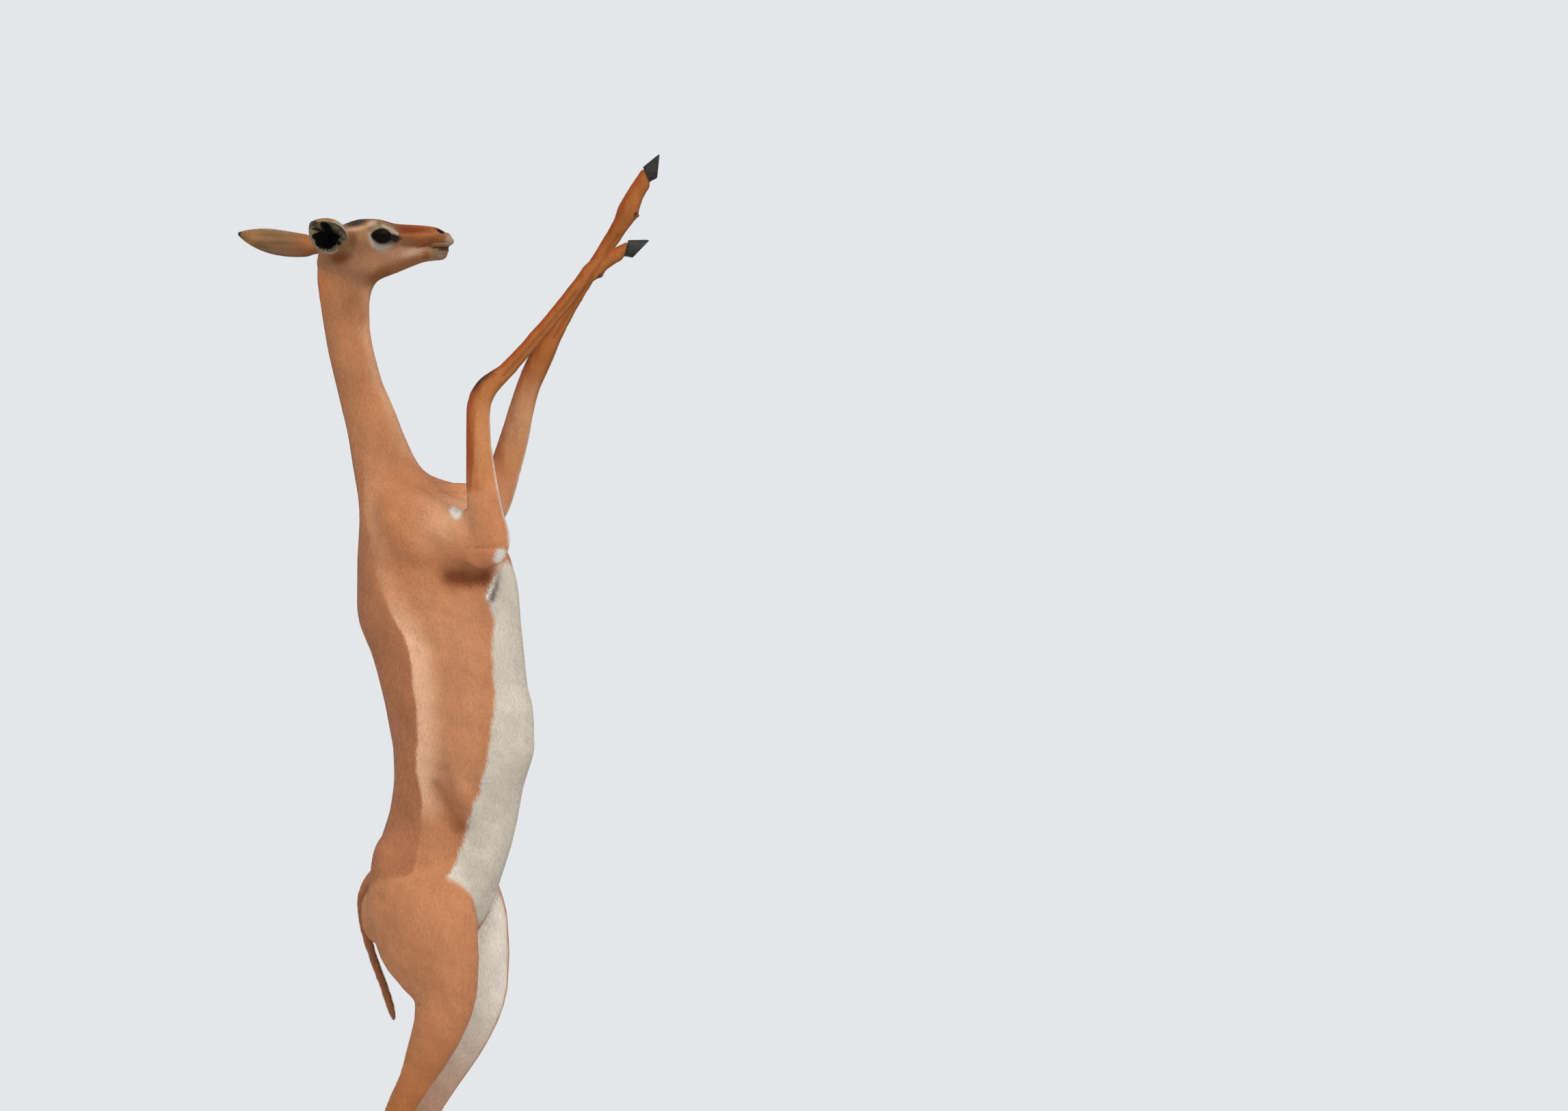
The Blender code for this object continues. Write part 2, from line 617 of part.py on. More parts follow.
def fuse(thing, voxel):
    """Fuse overlapping forms into one skin, smoothed lightly all over and well at the soft spots."""
    remesh = thing.modifiers.new("fuse", "REMESH")
    remesh.mode = "VOXEL"
    remesh.voxel_size = voxel
    bake_modifiers(thing)
    spots = coordinates(thing.data)
    weight = np.zeros(len(spots))
    for centre, radius in SOFT_SPOTS:
        reach = 1 - np.linalg.norm(spots - np.array(centre), axis=1) / radius
        weight = np.maximum(weight, np.clip(reach * 1.6, 0, 1))
    group = thing.vertex_groups.new(name="soft")
    for index in np.nonzero(weight > 0.01)[0]:
        group.add([int(index)], float(weight[index]), "REPLACE")
    soften = thing.modifiers.new("soften", "SMOOTH")
    soften.vertex_group = "soft"
    soften.factor = 0.5
    soften.iterations = int(SOFT_STEPS * (BODY_VOXEL / voxel) ** 1.5)
    even = thing.modifiers.new("even", "SMOOTH")
    even.factor = 0.5
    even.iterations = EVEN_STEPS
    bake_modifiers(thing)
    thing.vertex_groups.clear()
    return thing


def stroke(thing, points, width, height):
    """Push the surface along its normals near a line; a negative height is a groove."""
    spots = coordinates(thing.data)
    normals = vertex_normals(thing.data)
    nearest = np.full(len(spots), 1e9)
    line = [np.array(point, float) for point in points]
    for a, b in zip(line, line[1:]):
        run = b - a
        t = np.clip((spots - a) @ run / max(run @ run, 1e-12), 0, 1)
        nearest = np.minimum(nearest, np.linalg.norm(spots - (a + t[:, None] * run), axis=1))
    push = height * np.exp(-(nearest / width) ** 2)
    thing.data.vertices.foreach_set("co", (spots + normals * push[:, None]).ravel())
    thing.data.update()


def mirrored(points, sign):
    """Face lines given with their distance out from the midline plane."""
    return [(x, HEAD_Y + sign * out, z) for x, out, z in points]


def lid_outline(grow, count=24):
    """Points of the almond between the lids as x and z from the eyeball's centre."""
    points = []
    for i in range(count):
        angle = 2 * math.pi * i / count
        flat = math.copysign(abs(math.sin(angle)) ** 1.15, math.sin(angle))
        x = grow * LID_OPENING[0] / 2 * math.cos(angle)
        z = grow * LID_OPENING[1] / 2 * flat
        turned_x = x * math.cos(LID_TILT) - z * math.sin(LID_TILT)
        turned_z = x * math.sin(LID_TILT) + z * math.cos(LID_TILT)
        points.append((turned_x, turned_z))
    return points


def carve_face(head):
    for sign in (-1, 1):
        for points, width, height in FACE_LINES:
            stroke(head, mirrored(points, sign), width, height)
        grow, width, height = LID_RIM
        ring = []
        for x, z in lid_outline(grow):
            out = math.sqrt(max((EYE_RADIUS + LID) ** 2 - x * x - z * z, 0))
            ring.append((EYE_X + x, EYE_OUT + out, EYE_Z + z))
        stroke(head, mirrored(ring + ring[:1], sign), width, height)


def decimate(thing, triangles):
    work = bmesh.new()
    work.from_mesh(thing.data)
    bmesh.ops.triangulate(work, faces=work.faces)
    work.to_mesh(thing.data)
    work.free()
    thin = thing.modifiers.new("thin", "DECIMATE")
    thin.ratio = triangles / len(thing.data.polygons)
    return bake_modifiers(thing)


def boolean(thing, cutters, operation="DIFFERENCE"):
    """Cut with one cutter after the other and drop each."""
    for cutter in cutters:
        cut = thing.modifiers.new("cut", "BOOLEAN")
        cut.operation = operation
        cut.solver = "EXACT"
        cut.object = cutter
        bake_modifiers(thing)
        bpy.data.objects.remove(cutter)
    return thing


def block(name, centre, normal, side, sizes):
    """A box with half sizes along normal, side and the third way."""
    normal = Vector(normal).normalized()
    side = Vector(side)
    side = (side - normal * side.dot(normal)).normalized()
    third = normal.cross(side)
    work = bmesh.new()
    bmesh.ops.create_cube(work, size=2.0)
    turn = Matrix((normal * sizes[0], side * sizes[1], third * sizes[2])).transposed()
    for vertex in work.verts:
        vertex.co = turn @ vertex.co + Vector(centre)
    return orient_outwards(object_from(name, work))


def slab(centre, normal, side, reach_side, reach_third):
    return block("slab", centre, normal, side, (GAP / 2, reach_side, reach_third))


def along_rows(rows, index):
    """Direction of a leg at one of its rows, and the row's point."""
    before = Vector(rows[index - 1][:3])
    after = Vector(rows[index + 1][:3])
    return (after - before).normalized(), Vector(rows[index][:3])


def islands(thing):
    """Split a mesh into its closed pieces, largest first, as lists of vertices and triangles."""
    work = bmesh.new()
    work.from_mesh(thing.data)
    bmesh.ops.triangulate(work, faces=work.faces)
    work.verts.index_update()
    seen = set()
    found = []
    for start in work.verts:
        if start.index in seen:
            continue
        seen.add(start.index)
        pile = [start]
        piece = []
        while pile:
            vertex = pile.pop()
            piece.append(vertex)
            for edge in vertex.link_edges:
                other = edge.other_vert(vertex)
                if other.index not in seen:
                    seen.add(other.index)
                    pile.append(other)
        number = {vertex.index: i for i, vertex in enumerate(piece)}
        faces = {face for vertex in piece for face in vertex.link_faces}
        faces = sorted(faces, key=lambda face: tuple(v.index for v in face.verts))
        triangles = [tuple(number[v.index] for v in face.verts) for face in faces]
        found.append(([vertex.co.copy() for vertex in piece], triangles))
    work.free()
    return sorted(found, key=lambda piece: -len(piece[0]))


def piece_centre(vertices):
    low = [min(v[i] for v in vertices) for i in range(3)]
    high = [max(v[i] for v in vertices) for i in range(3)]
    return Vector([(a + b) / 2 for a, b in zip(low, high)])


def claw(name, origin, forward, up, side, out_sign):
    """One half of a cloven hoof: a flat sole, a rounded wall and a sloping coronet."""
    rings = []
    for share, toe, heel, half_width in CLAW_LEVELS:
        ring = []
        for i in range(CLAW_POINTS):
            angle = 2 * math.pi * i / CLAW_POINTS
            reach = math.cos(angle)
            ahead = reach * (toe if reach > 0 else -heel) * CLAW_LENGTH
            squeeze = 1 - CLAW_TOE_TAPER * max(reach, 0) ** 2
            inner = CLAW_INNER_SIDE if math.sin(angle) * out_sign < 0 else 1.0
            aside = math.sin(angle) * half_width * CLAW_WIDTH * squeeze * inner + out_sign * CLAW_SPREAD
            height = share * (CLAW_HEIGHT + CORONET_RISE * ahead * share)
            ahead += CLAW_LEAN * (1 - share)
            ring.append(origin + forward * ahead + up * height + side * aside)
        rings.append(ring)
    return loft(name, rings)


def ear_cup(name, sign):
    """A leaf-shaped shell rolled into a funnel: each section is a C that opens towards open_way."""
    base, tip_way, open_way, scale, curl, straight = ear_frame(sign)
    wide_way = tip_way.cross(open_way)
    rings = []
    reach = EAR_LENGTH - EAR_ROOT
    widest, widest_radius = max((row[:2] for row in EAR_ROWS), key=lambda row: row[1])
    for share, radius, half_arc, hollow in smooth_rows(EAR_ROWS, 2):
        radius *= 1 + (scale - 1) * min(1, share * 4)
        wall = min(EAR_WALL, radius * 0.45)
        inner = max(radius - wall, 0.001) * hollow + (1 - hollow) * 0.001
        centre = base + tip_way * (EAR_ROOT + reach * share) + curl * (share * share)
        if share > widest:
            centre -= open_way * (straight * (widest_radius * scale - radius))
        outer_points = []
        inner_points = []
        for i in range(EAR_POINTS):
            angle = math.radians(half_arc) * (2 * i / (EAR_POINTS - 1) - 1)
            direction = -open_way * math.cos(angle) + wide_way * math.sin(angle)
            outer_points.append(centre + direction * radius)
            inner_points.append(centre + direction * inner)
        rings.append(outer_points + inner_points[::-1])
    return loft(name, rings)


def almond(centre, sign):
    """The gap between the lids, cut outwards from the eyeball's centre."""
    rings = []
    for out, grow in ((0.004, 0.92), (0.040, 1.25)):
        rings.append([centre + Vector((x, sign * out, z)) for x, z in lid_outline(grow)])
    return loft("almond", rings)


def ball(name, centre, radius):
    work = bmesh.new()
    bmesh.ops.create_uvsphere(work, u_segments=BALL_GRID[0], v_segments=BALL_GRID[1], radius=radius)
    bmesh.ops.translate(work, verts=work.verts, vec=centre)
    return object_from(name, work)


def make_head():
    head = fuse(join("head", head_parts() + [trunk_and_neck()]), HEAD_VOXEL)
    carve_face(head)
    point, normal = NECK_CUT
    above = point + normal * (HALF_SPACE[0] + GAP / 2)
    boolean(head, [block("keep", above, normal, (0, 1, 0), HALF_SPACE)], "INTERSECT")
    decimate(head, HEAD_TRIANGLES)
    cutters = []
    for sign in (-1, 1):
        eye = Vector((EYE_X, HEAD_Y + sign * EYE_OUT, EYE_Z))
        cutters.append(ball("socket", eye, EYE_RADIUS + GAP))
        cutters.append(almond(eye, sign))
        base, tip_way = ear_frame(sign)[:2]
        stub_end = base + tip_way * (EAR_ROOT - GAP / 2)
        cutters.append(slab(stub_end, tip_way, (0, 0, 1), EAR_CUT_REACH, EAR_CUT_REACH))
    return boolean(head, cutters)


def hip_cutters():
    """Two slabs that rise outwards from the crotch and one that parts the thighs below it."""
    left_way = trunk_way(0, 1)
    forward_way = trunk_way(1, 0)
    cutters = []
    for sign in (-1, 1):
        outward = (left_way * sign * 0.72 + Vector((0, 0, 0.69))).normalized()
        centre = trunk_point(HIP_CUT_MIDDLE, 0.0, CROTCH) + outward * 0.099
        cutters.append(slab(centre, outward.cross(forward_way), forward_way, HIP_CUT_REACH, 0.10))
    between = trunk_point(HIP_CUT_MIDDLE, 0, CROTCH - 0.060)
    cutters.append(slab(between, left_way, forward_way, HIP_CUT_REACH, 0.062))
    return cutters


def body_cutters():
    left_way = trunk_way(0, 1)
    centre, side_reach, third_reach = NECK_BASE_CUT
    cutters = [slab(centre, Vector((0, 0, 1)), left_way, side_reach, third_reach)]
    legs = [(RIGHT_FORE, RIGHT_FORE_CUTS), (LEFT_FORE, LEFT_FORE_CUTS)]
    legs += [(hind_rows(sign), HIND_CUTS) for sign in (-1, 1)]
    for rows, cuts in legs:
        for index, reach in cuts:
            along, centre = along_rows(rows, index)
            cutters.append(slab(centre, along, left_way, reach, reach))
    index, reach = TAIL_CUT
    along, centre = along_rows(tail_rows(), index)
    tail_cutter = slab(centre, along, left_way, reach, reach)
    return cutters + hip_cutters() + [tail_cutter] + coronet_cutters()


def make_body():
    body = fuse(join("body", body_parts() + head_parts()), BODY_VOXEL)
    point, normal = NECK_CUT
    above = point + normal * (HALF_SPACE[0] - GAP / 2)
    boolean(body, [block("off", above, normal, (0, 1, 0), HALF_SPACE)])
    decimate(body, BODY_TRIANGLES)
    return boolean(body, body_cutters())


def node_anchors():
    """Where each node of the parted body has the middle of its box, roughly."""
    anchors = {
        "neck": (-0.150, 0.045, 1.620),
        "torso": (0.000, 0.000, 1.080),
        "tail": trunk_point(-0.125, 0, 0.650),
        "forearm_right": (0.064, -0.125, 1.500),
        "fore_cannon_right": (0.150, -0.112, 1.690),
        "fore_pastern_right": (0.280, -0.104, 1.815),
        "forearm_left": (0.120, 0.055, 1.530),
        "fore_cannon_left": (0.220, 0.030, 1.760),
        "fore_pastern_left": (0.318, 0.012, 1.920),
    }
    for sign, word in ((-1, "right"), (1, "left")):
        anchors["thigh_" + word] = trunk_point(0.010, sign * 0.070, 0.660)
        anchors["gaskin_" + word] = trunk_point(0.000, sign * 0.070, 0.450)
        anchors["hind_cannon_" + word] = trunk_point(-0.040, sign * 0.075, 0.240)
        anchors["hind_pastern_" + word] = trunk_point(-0.010, sign * 0.078, 0.070)
    return {name: Vector(spot) for name, spot in anchors.items()}


def material(name, look):
    colour, roughness = look
    made = bpy.data.materials.new(name)
    made.use_nodes = True
    shader = made.node_tree.nodes["Principled BSDF"]
    shader.inputs["Base Color"].default_value = (*colour, 1)
    shader.inputs["Roughness"].default_value = roughness
    shader.inputs["Metallic"].default_value = 0.0
    return made


def finish_node(name, thing, look):
    thing.name = name
    thing.data.name = name
    thing.data.materials.clear()
    thing.data.materials.append(material(name, look))
    thing.data.shade_smooth()


def keep_largest(name, thing, look):
    vertices, triangles = islands(thing)[0]
    bpy.data.objects.remove(thing)
    finish_node(name, make_object(name, vertices, triangles), look)


def foot_frame(name, coronet, angle, yaw, side):
    """A foot's name, middle of its sole, and its toe, top and side directions."""
    level = Vector((math.cos(yaw), -math.sin(yaw), 0))
    forward = level * math.cos(angle) + Vector((0, 0, math.sin(angle)))
    up = Vector((0, 0, math.cos(angle))) - level * math.sin(angle)
    return name, coronet - up * CLAW_HEIGHT, forward, up, side - forward * side.dot(forward)


def foot_frames():
    left_way = trunk_way(0, 1)
    frames = []
    for sign, word in ((-1, "right"), (1, "left")):
        coronet = Vector(hind_rows(sign)[-1][:3])
        coronet.z = CLAW_HEIGHT
        frames.append(foot_frame("hind_hoof_" + word, coronet, 0, YAW, left_way))
    side = Vector((0, 1, 0))
    frames.append(foot_frame("fore_hoof_right", Vector(RIGHT_CORONET), RIGHT_SOLE, 0, side))
    frames.append(foot_frame("fore_hoof_left", Vector(LEFT_CORONET), LEFT_SOLE, 0, side))
    return frames


def coronet_cutters():
    """Blocks that end each pastern on its hoof's sloping coronet."""
    cutters = []
    for _, origin, forward, up, side in foot_frames():
        normal = (up - forward * CORONET_RISE).normalized()
        centre = origin + up * CLAW_HEIGHT - normal * (CORONET_BLOCK[0] - GAP)
        cutters.append(block("coronet", centre, normal, side, CORONET_BLOCK))
    return cutters


def make_hooves():
    for name, origin, forward, up, side in foot_frames():
        for out_sign, word in ((-1, "right_claw"), (1, "left_claw")):
            made = claw(name + "_" + word, origin, forward, up, side, out_sign)
            finish_node(made.name, made, HOOF)


def centre_on_floor():
    """Put the middle of the whole object's box over the origin."""
    nodes = [thing for thing in bpy.data.objects if thing.type == "MESH"]
    spots = np.concatenate([coordinates(thing.data) for thing in nodes])
    middle = (spots.min(axis=0) + spots.max(axis=0)) / 2
    move = Matrix.Translation((-middle[0], -middle[1], 0))
    for thing in nodes:
        thing.data.transform(move)


def name_pieces(body):
    """Turn each piece of the parted body into the node whose anchor lies nearest, the largest first."""
    pieces = islands(body)
    bpy.data.objects.remove(body)
    left = node_anchors()
    for vertices, triangles in pieces:
        centre = piece_centre(vertices)
        name = min(left, key=lambda key: (left[key] - centre).length, default=None)
        if name is None or (left[name] - centre).length > ANCHOR_REACH:
            continue
        left.pop(name)
        finish_node(name, make_object(name, vertices, triangles), FLANK)


def make():
    clear_scene()
    head = make_head()
    keep_largest("head", head, FACE)
    name_pieces(make_body())
    for sign, word in ((-1, "right"), (1, "left")):
        finish_node("ear_" + word, ear_cup("ear_" + word, sign), INNER_EAR)
        eye = ball("eye_" + word, Vector((EYE_X, HEAD_Y + sign * EYE_OUT, EYE_Z)), EYE_RADIUS)
        finish_node("eye_" + word, eye, EYE)
    make_hooves()
    centre_on_floor()


make()
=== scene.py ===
"""Looks of the gerenuk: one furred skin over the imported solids, with ears, eyes, hooves, light and camera.

Places are in the solids' own drawing: metres, head facing +X, the animal's left +Y, floor at z = 0.
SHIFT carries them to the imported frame, whose origin is the middle of the object's box.
"""
import math

import bmesh
import bpy
import numpy as np
from mathutils import Matrix, Vector
from mathutils.bvhtree import BVHTree


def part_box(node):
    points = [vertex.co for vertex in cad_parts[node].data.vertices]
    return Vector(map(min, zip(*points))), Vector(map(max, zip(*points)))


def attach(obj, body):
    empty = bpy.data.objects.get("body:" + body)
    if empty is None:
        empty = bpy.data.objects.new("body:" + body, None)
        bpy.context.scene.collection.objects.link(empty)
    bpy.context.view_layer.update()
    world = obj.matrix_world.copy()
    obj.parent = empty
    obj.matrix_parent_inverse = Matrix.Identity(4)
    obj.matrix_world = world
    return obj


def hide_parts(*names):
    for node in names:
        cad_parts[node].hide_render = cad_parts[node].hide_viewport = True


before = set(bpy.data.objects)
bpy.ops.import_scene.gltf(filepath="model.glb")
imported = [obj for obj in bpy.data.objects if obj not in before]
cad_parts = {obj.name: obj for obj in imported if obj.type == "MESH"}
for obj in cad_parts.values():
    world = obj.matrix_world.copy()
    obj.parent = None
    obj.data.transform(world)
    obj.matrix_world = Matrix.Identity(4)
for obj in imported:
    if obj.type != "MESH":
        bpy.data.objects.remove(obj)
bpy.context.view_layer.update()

# Places shared with the solids
HEAD_Y = 0.055
EYE_X = -0.1052
EYE_Z = 1.8600
EYE_OUT = 0.0262
EYE_RADIUS = 0.0175
LID_OPENING = (0.0318, 0.0200)
LID_POINT = 1.25            # 2 gives the gap between the lids round corners, 1 gives it pointed ones
LID_TILT = math.radians(-6)
YAW = math.radians(22)
MIDLINE_X = -0.010
SIDES = {-1: "right", 1: "left"}
EARS = {                    # by side, -1 for right: base, direction of the tip, direction of the opening
    -1: ((-0.1810, HEAD_Y - 0.026, 1.8540), (-0.14, -0.965, 0.09), (0.70, -0.25, -0.66)),
    1: ((-0.1960, HEAD_Y + 0.027, 1.8420), (-0.985, 0.16, 0.02), (0.16, 0.95, 0.22)),
}

eye_low, eye_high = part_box("eye_right")
SHIFT = (eye_low + eye_high) / 2 - Vector((EYE_X, HEAD_Y - EYE_OUT, EYE_Z))

# Skin
SKIN_VOXEL = 0.0040
OVERLAP = 0.0003            # each solid is swollen by this, which closes the cuts between nodes
COAT_DEPTH = 0.0012         # the skin lies this far inside the solids
HOOF_SHRINK = 0.0024        # the skin's end inside a claw is smaller by this on every side
FAIRING_STEPS = 20
TRUNK_FAIRING_STEPS = 150
SPREAD_STEPS = 36           # how far a leg's markings fade into the trunk's, in steps of about a voxel
HEAD_SPREAD_STEPS = 120     # the same for the head and the neck
CALMED_CREASE = ((-0.060, 1.440), (-0.105, 1.425), (-0.119, 1.395), (-0.110, 1.355))
CALMED_WIDTH = 0.030        # the edge of the shoulder, drawn as a crease by the fused solids, is smoothed
CALMING_STEPS = 90
HEAD_FLOOR = 1.785          # the skin is finer above this height, behind the raised feet
HEAD_FRONT = 0.030
FINE_SPOTS = (              # and finest here: x, out from the head's midline, z, radius
    (EYE_X, 0.036, EYE_Z, 0.030),
    (-0.002, 0.010, 1.850, 0.030),
    (-0.032, 0.016, 1.842, 0.018),
)

# Nodes of flesh, each with the one that its coat runs towards
LEG_CHAINS = (
    ("forearm", "fore_cannon", "fore_pastern", "fore_hoof"),
    ("thigh", "gaskin", "hind_cannon", "hind_pastern", "hind_hoof"),
)
RUNS_TO = {"head": "neck", "neck": "torso", "torso": "tail", "tail": None}
for chain in LEG_CHAINS:
    for side in SIDES.values():
        nodes = [part + "_" + side for part in chain]
        nodes[-1] += "_left_claw"
        RUNS_TO.update(zip(nodes, nodes[1:]))
FLESH = list(RUNS_TO)
REGION = {name: index for index, name in enumerate(FLESH)}
LEGS = [REGION[name] for name in FLESH if "_" in name]
RIGHT_LEGS = [REGION[name] for name in FLESH if name.endswith("right")]
FORE_LEGS = [REGION[name] for name in FLESH if name.startswith("fore")]


def linear(red, green, blue):
    """A colour given as eight-bit values, in linear light."""
    values = np.array((red, green, blue), float) / 255
    return np.where(values <= 0.04045, values / 12.92, ((values + 0.055) / 1.055) ** 2.4)


NECK = linear(168, 112, 75)
NAPE = linear(150, 93, 60)
THROAT = linear(196, 147, 112)
SHOULDER = linear(182, 118, 77)
BREAST = linear(202, 150, 114)
SADDLE = linear(162, 104, 70)
BAND = linear(219, 168, 132)
FLANK = linear(181, 124, 87)
FLANK_EDGE = linear(170, 113, 75)
WHITE = linear(218, 209, 197)
# the belly's white, greyed: painted shade of the underside
SHADED_BELLY_WHITE = linear(190, 179, 163)
RUMP = linear(176, 117, 79)
SHADOW = linear(100, 44, 14)
FORELEG = linear(181, 120, 74)
FORELEG_FRONT = linear(146, 66, 20)
CANNON = linear(156, 92, 44)
# painted shade for the raised legs' underside and for the grooves beside their tendons
CANNON_SHADE = linear(116, 64, 28)
LEG_WHITE = linear(204, 194, 180)
LEG_INSIDE = linear(186, 150, 118)
KNEE_TUFT = linear(52, 38, 30)
FACE = linear(142, 98, 68)
BLACK = linear(20, 16, 13)


def trunk_axes(spots):
    """Forward and left in the turned trunk's own axes."""
    x = spots[:, 0] - MIDLINE_X
    forward = x * math.cos(YAW) - spots[:, 1] * math.sin(YAW)
    left = x * math.sin(YAW) + spots[:, 1] * math.cos(YAW)
    return forward, left


def ramp(values, low, high):
    """0 up to low, 1 from high on, and a smooth rise between them."""
    t = np.clip((values - low) / (high - low), 0, 1)
    return t * t * (3 - 2 * t)


def tint(colours, colour, amount):
    """Blend a colour, or one for each point, into colours by an amount for each point."""
    return colours + (colour - colours) * np.asarray(amount)[:, None]


def ripple(spots, scale, seed, waves=14):
    """Smooth random values of about unit size, from a few plane waves."""
    random = np.random.default_rng(seed)
    total = np.zeros(len(spots))
    for _ in range(waves):
        way = random.normal(size=3)
        way *= scale * random.uniform(0.5, 1.6) / np.linalg.norm(way)
        total += np.sin(spots @ way + random.uniform(0, 2 * math.pi))
    return total / math.sqrt(waves / 2)


def line_distance(spots, points):
    """Distance from each spot to a broken line; the line may have two or three coordinates."""
    line = [np.array(point, float) for point in points]
    nearest = np.full(len(spots), 1e9)
    for a, b in zip(line, line[1:]):
        run = b - a
        t = np.clip((spots - a) @ run / max(run @ run, 1e-12), 0, 1)
        nearest = np.minimum(nearest, np.linalg.norm(spots - (a + t[:, None] * run), axis=1))
    return nearest


# Meshes as arrays

def read_rows(items, field, width, kind=float):
    flat = np.empty(len(items) * width, kind)
    items.foreach_get(field, flat)
    return flat.reshape(-1, width)


def mesh_spots(mesh):
    return read_rows(mesh.vertices, "co", 3)


def mesh_normals(mesh):
    return read_rows(mesh.vertices, "normal", 3)


def mesh_edges(mesh):
    return read_rows(mesh.edges, "vertices", 2, int)


def mesh_triangles(mesh):
    mesh.calc_loop_triangles()
    return read_rows(mesh.loop_triangles, "vertices", 3, int)


def set_spots(mesh, spots):
    mesh.vertices.foreach_set("co", spots.ravel())
    mesh.update()


def new_object(name, mesh):
    thing = bpy.data.objects.new(name, mesh)
    bpy.context.scene.collection.objects.link(thing)
    return thing


def object_from(name, work):
    mesh = bpy.data.meshes.new(name)
    work.to_mesh(mesh)
    work.free()
    return new_object(name, mesh)


def mesh_from_triangles(name, spots, triangles):
    mesh = bpy.data.meshes.new(name)
    mesh.vertices.add(len(spots))
    mesh.vertices.foreach_set("co", spots.ravel())
    mesh.loops.add(triangles.size)
    mesh.loops.foreach_set("vertex_index", triangles.ravel())
    mesh.polygons.add(len(triangles))
    mesh.polygons.foreach_set("loop_start", np.arange(0, triangles.size, 3))
    mesh.update(calc_edges=True)
    return mesh


def bake_modifiers(thing):
    graph = bpy.context.evaluated_depsgraph_get()
    mesh = bpy.data.meshes.new_from_object(thing.evaluated_get(graph))
    thing.modifiers.clear()
    thing.data = mesh
    return thing


def neighbour_mean(values, edges):
    size = len(values)
    count = np.bincount(edges.ravel(), minlength=size)
    columns = []
    for column in values.T:
        total = np.bincount(edges[:, 0], column[edges[:, 1]], size)
        total += np.bincount(edges[:, 1], column[edges[:, 0]], size)
        columns.append(total / np.maximum(count, 1))
    return np.stack(columns, axis=1)


def fair(spots, edges, steps, weight=1.0, out=-0.52):
    """Smooth without shrinking, by a step in and a slightly larger step out."""
    weight = np.broadcast_to(weight, (len(spots),))[:, None]
    for _ in range(steps):
        for factor in (0.50, out):
            spots = spots + (neighbour_mean(spots, edges) - spots) * factor * weight
    return spots


def spread(values, edges, steps):
    """Blur one value for each point over the mesh."""
    values = values[:, None]
    for _ in range(steps):
        values = (values + neighbour_mean(values, edges)) / 2
    return values[:, 0]


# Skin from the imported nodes

def solid(name, swell):
    """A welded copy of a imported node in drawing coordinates, swollen a little."""
    work = bmesh.new()
    work.from_mesh(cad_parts[name].data)
    bmesh.ops.remove_doubles(work, verts=work.verts, dist=1e-6)
    work.normal_update()
    for vertex in work.verts:
        vertex.co = vertex.co - SHIFT + vertex.normal * swell
    return work


def joined(names, swell):
    """The named nodes in one mesh, and the region of each of its faces."""
    mesh = bpy.data.meshes.new("joined")
    everything = bmesh.new()
    regions = []
    for name in names:
        work = solid(name, swell)
        work.to_mesh(mesh)
        work.free()
        everything.from_mesh(mesh)
        regions += [REGION.get(name, 0)] * len(mesh.polygons)
    bpy.data.meshes.remove(mesh)
    return object_from("joined", everything), np.array(regions)


def keep_largest(thing):
    work = bmesh.new()
    work.from_mesh(thing.data)
    work.verts.ensure_lookup_table()
    left = set(range(len(work.verts)))
    best = []
    while left:
        pile = [left.pop()]
        piece = list(pile)
        while pile:
            for edge in work.verts[pile.pop()].link_edges:
                for vertex in edge.verts:
                    if vertex.index in left:
                        left.remove(vertex.index)
                        pile.append(vertex.index)
                        piece.append(vertex.index)
        if len(piece) > len(best):
            best = piece
    keep = set(best)
    bmesh.ops.delete(work, geom=[v for v in work.verts if v.index not in keep], context="VERTS")
    work.to_mesh(thing.data)
    work.free()


def refine(thing, chosen):
    """Split the faces whose centres the function chooses."""
    work = bmesh.new()
    work.from_mesh(thing.data)
    centres = np.array([face.calc_center_median() for face in work.faces])
    mask = chosen(centres)
    edges = {edge for face, inside in zip(work.faces, mask) if inside for edge in face.edges}
    bmesh.ops.subdivide_edges(work, edges=list(edges), cuts=1, use_grid_fill=True)
    bmesh.ops.triangulate(work, faces=[face for face in work.faces if len(face.verts) > 4])
    work.to_mesh(thing.data)
    work.free()


def on_head(spots):
    return (spots[:, 2] > HEAD_FLOOR) & (spots[:, 0] < HEAD_FRONT)


def in_fine_spots(spots):
    mask = np.zeros(len(spots), bool)
    out = np.abs(spots[:, 1] - HEAD_Y)
    for x, side, z, radius in FINE_SPOTS:
        away = np.stack([spots[:, 0] - x, out - side, spots[:, 2] - z], axis=1)
        mask |= np.linalg.norm(away, axis=1) < radius
    return mask


def settle_on(spots, tree, mask):
    """Move the masked spots onto the nearest surface of the solids."""
    for index in np.nonzero(mask)[0]:
        spots[index] = tree.find_nearest(Vector(spots[index]))[0]
    return spots


def ear_base(sign):
    """The middle of the cut between an ear and the head, and the ear's direction."""
    base, way, _ = EARS[sign]
    return Vector(base), Vector(way).normalized()


def flesh_tree():
    """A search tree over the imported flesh, and the region of each of its faces."""
    solids, regions = joined(FLESH, 0.0)
    faces = [list(face.vertices) for face in solids.data.polygons]
    tree = BVHTree.FromPolygons(mesh_spots(solids.data).tolist(), faces)
    bpy.data.objects.remove(solids)
    return tree, regions


def nearest_regions(spots):
    tree, regions = FLESH_TREE
    return np.array([regions[tree.find_nearest(Vector(spot))[2]] for spot in spots])


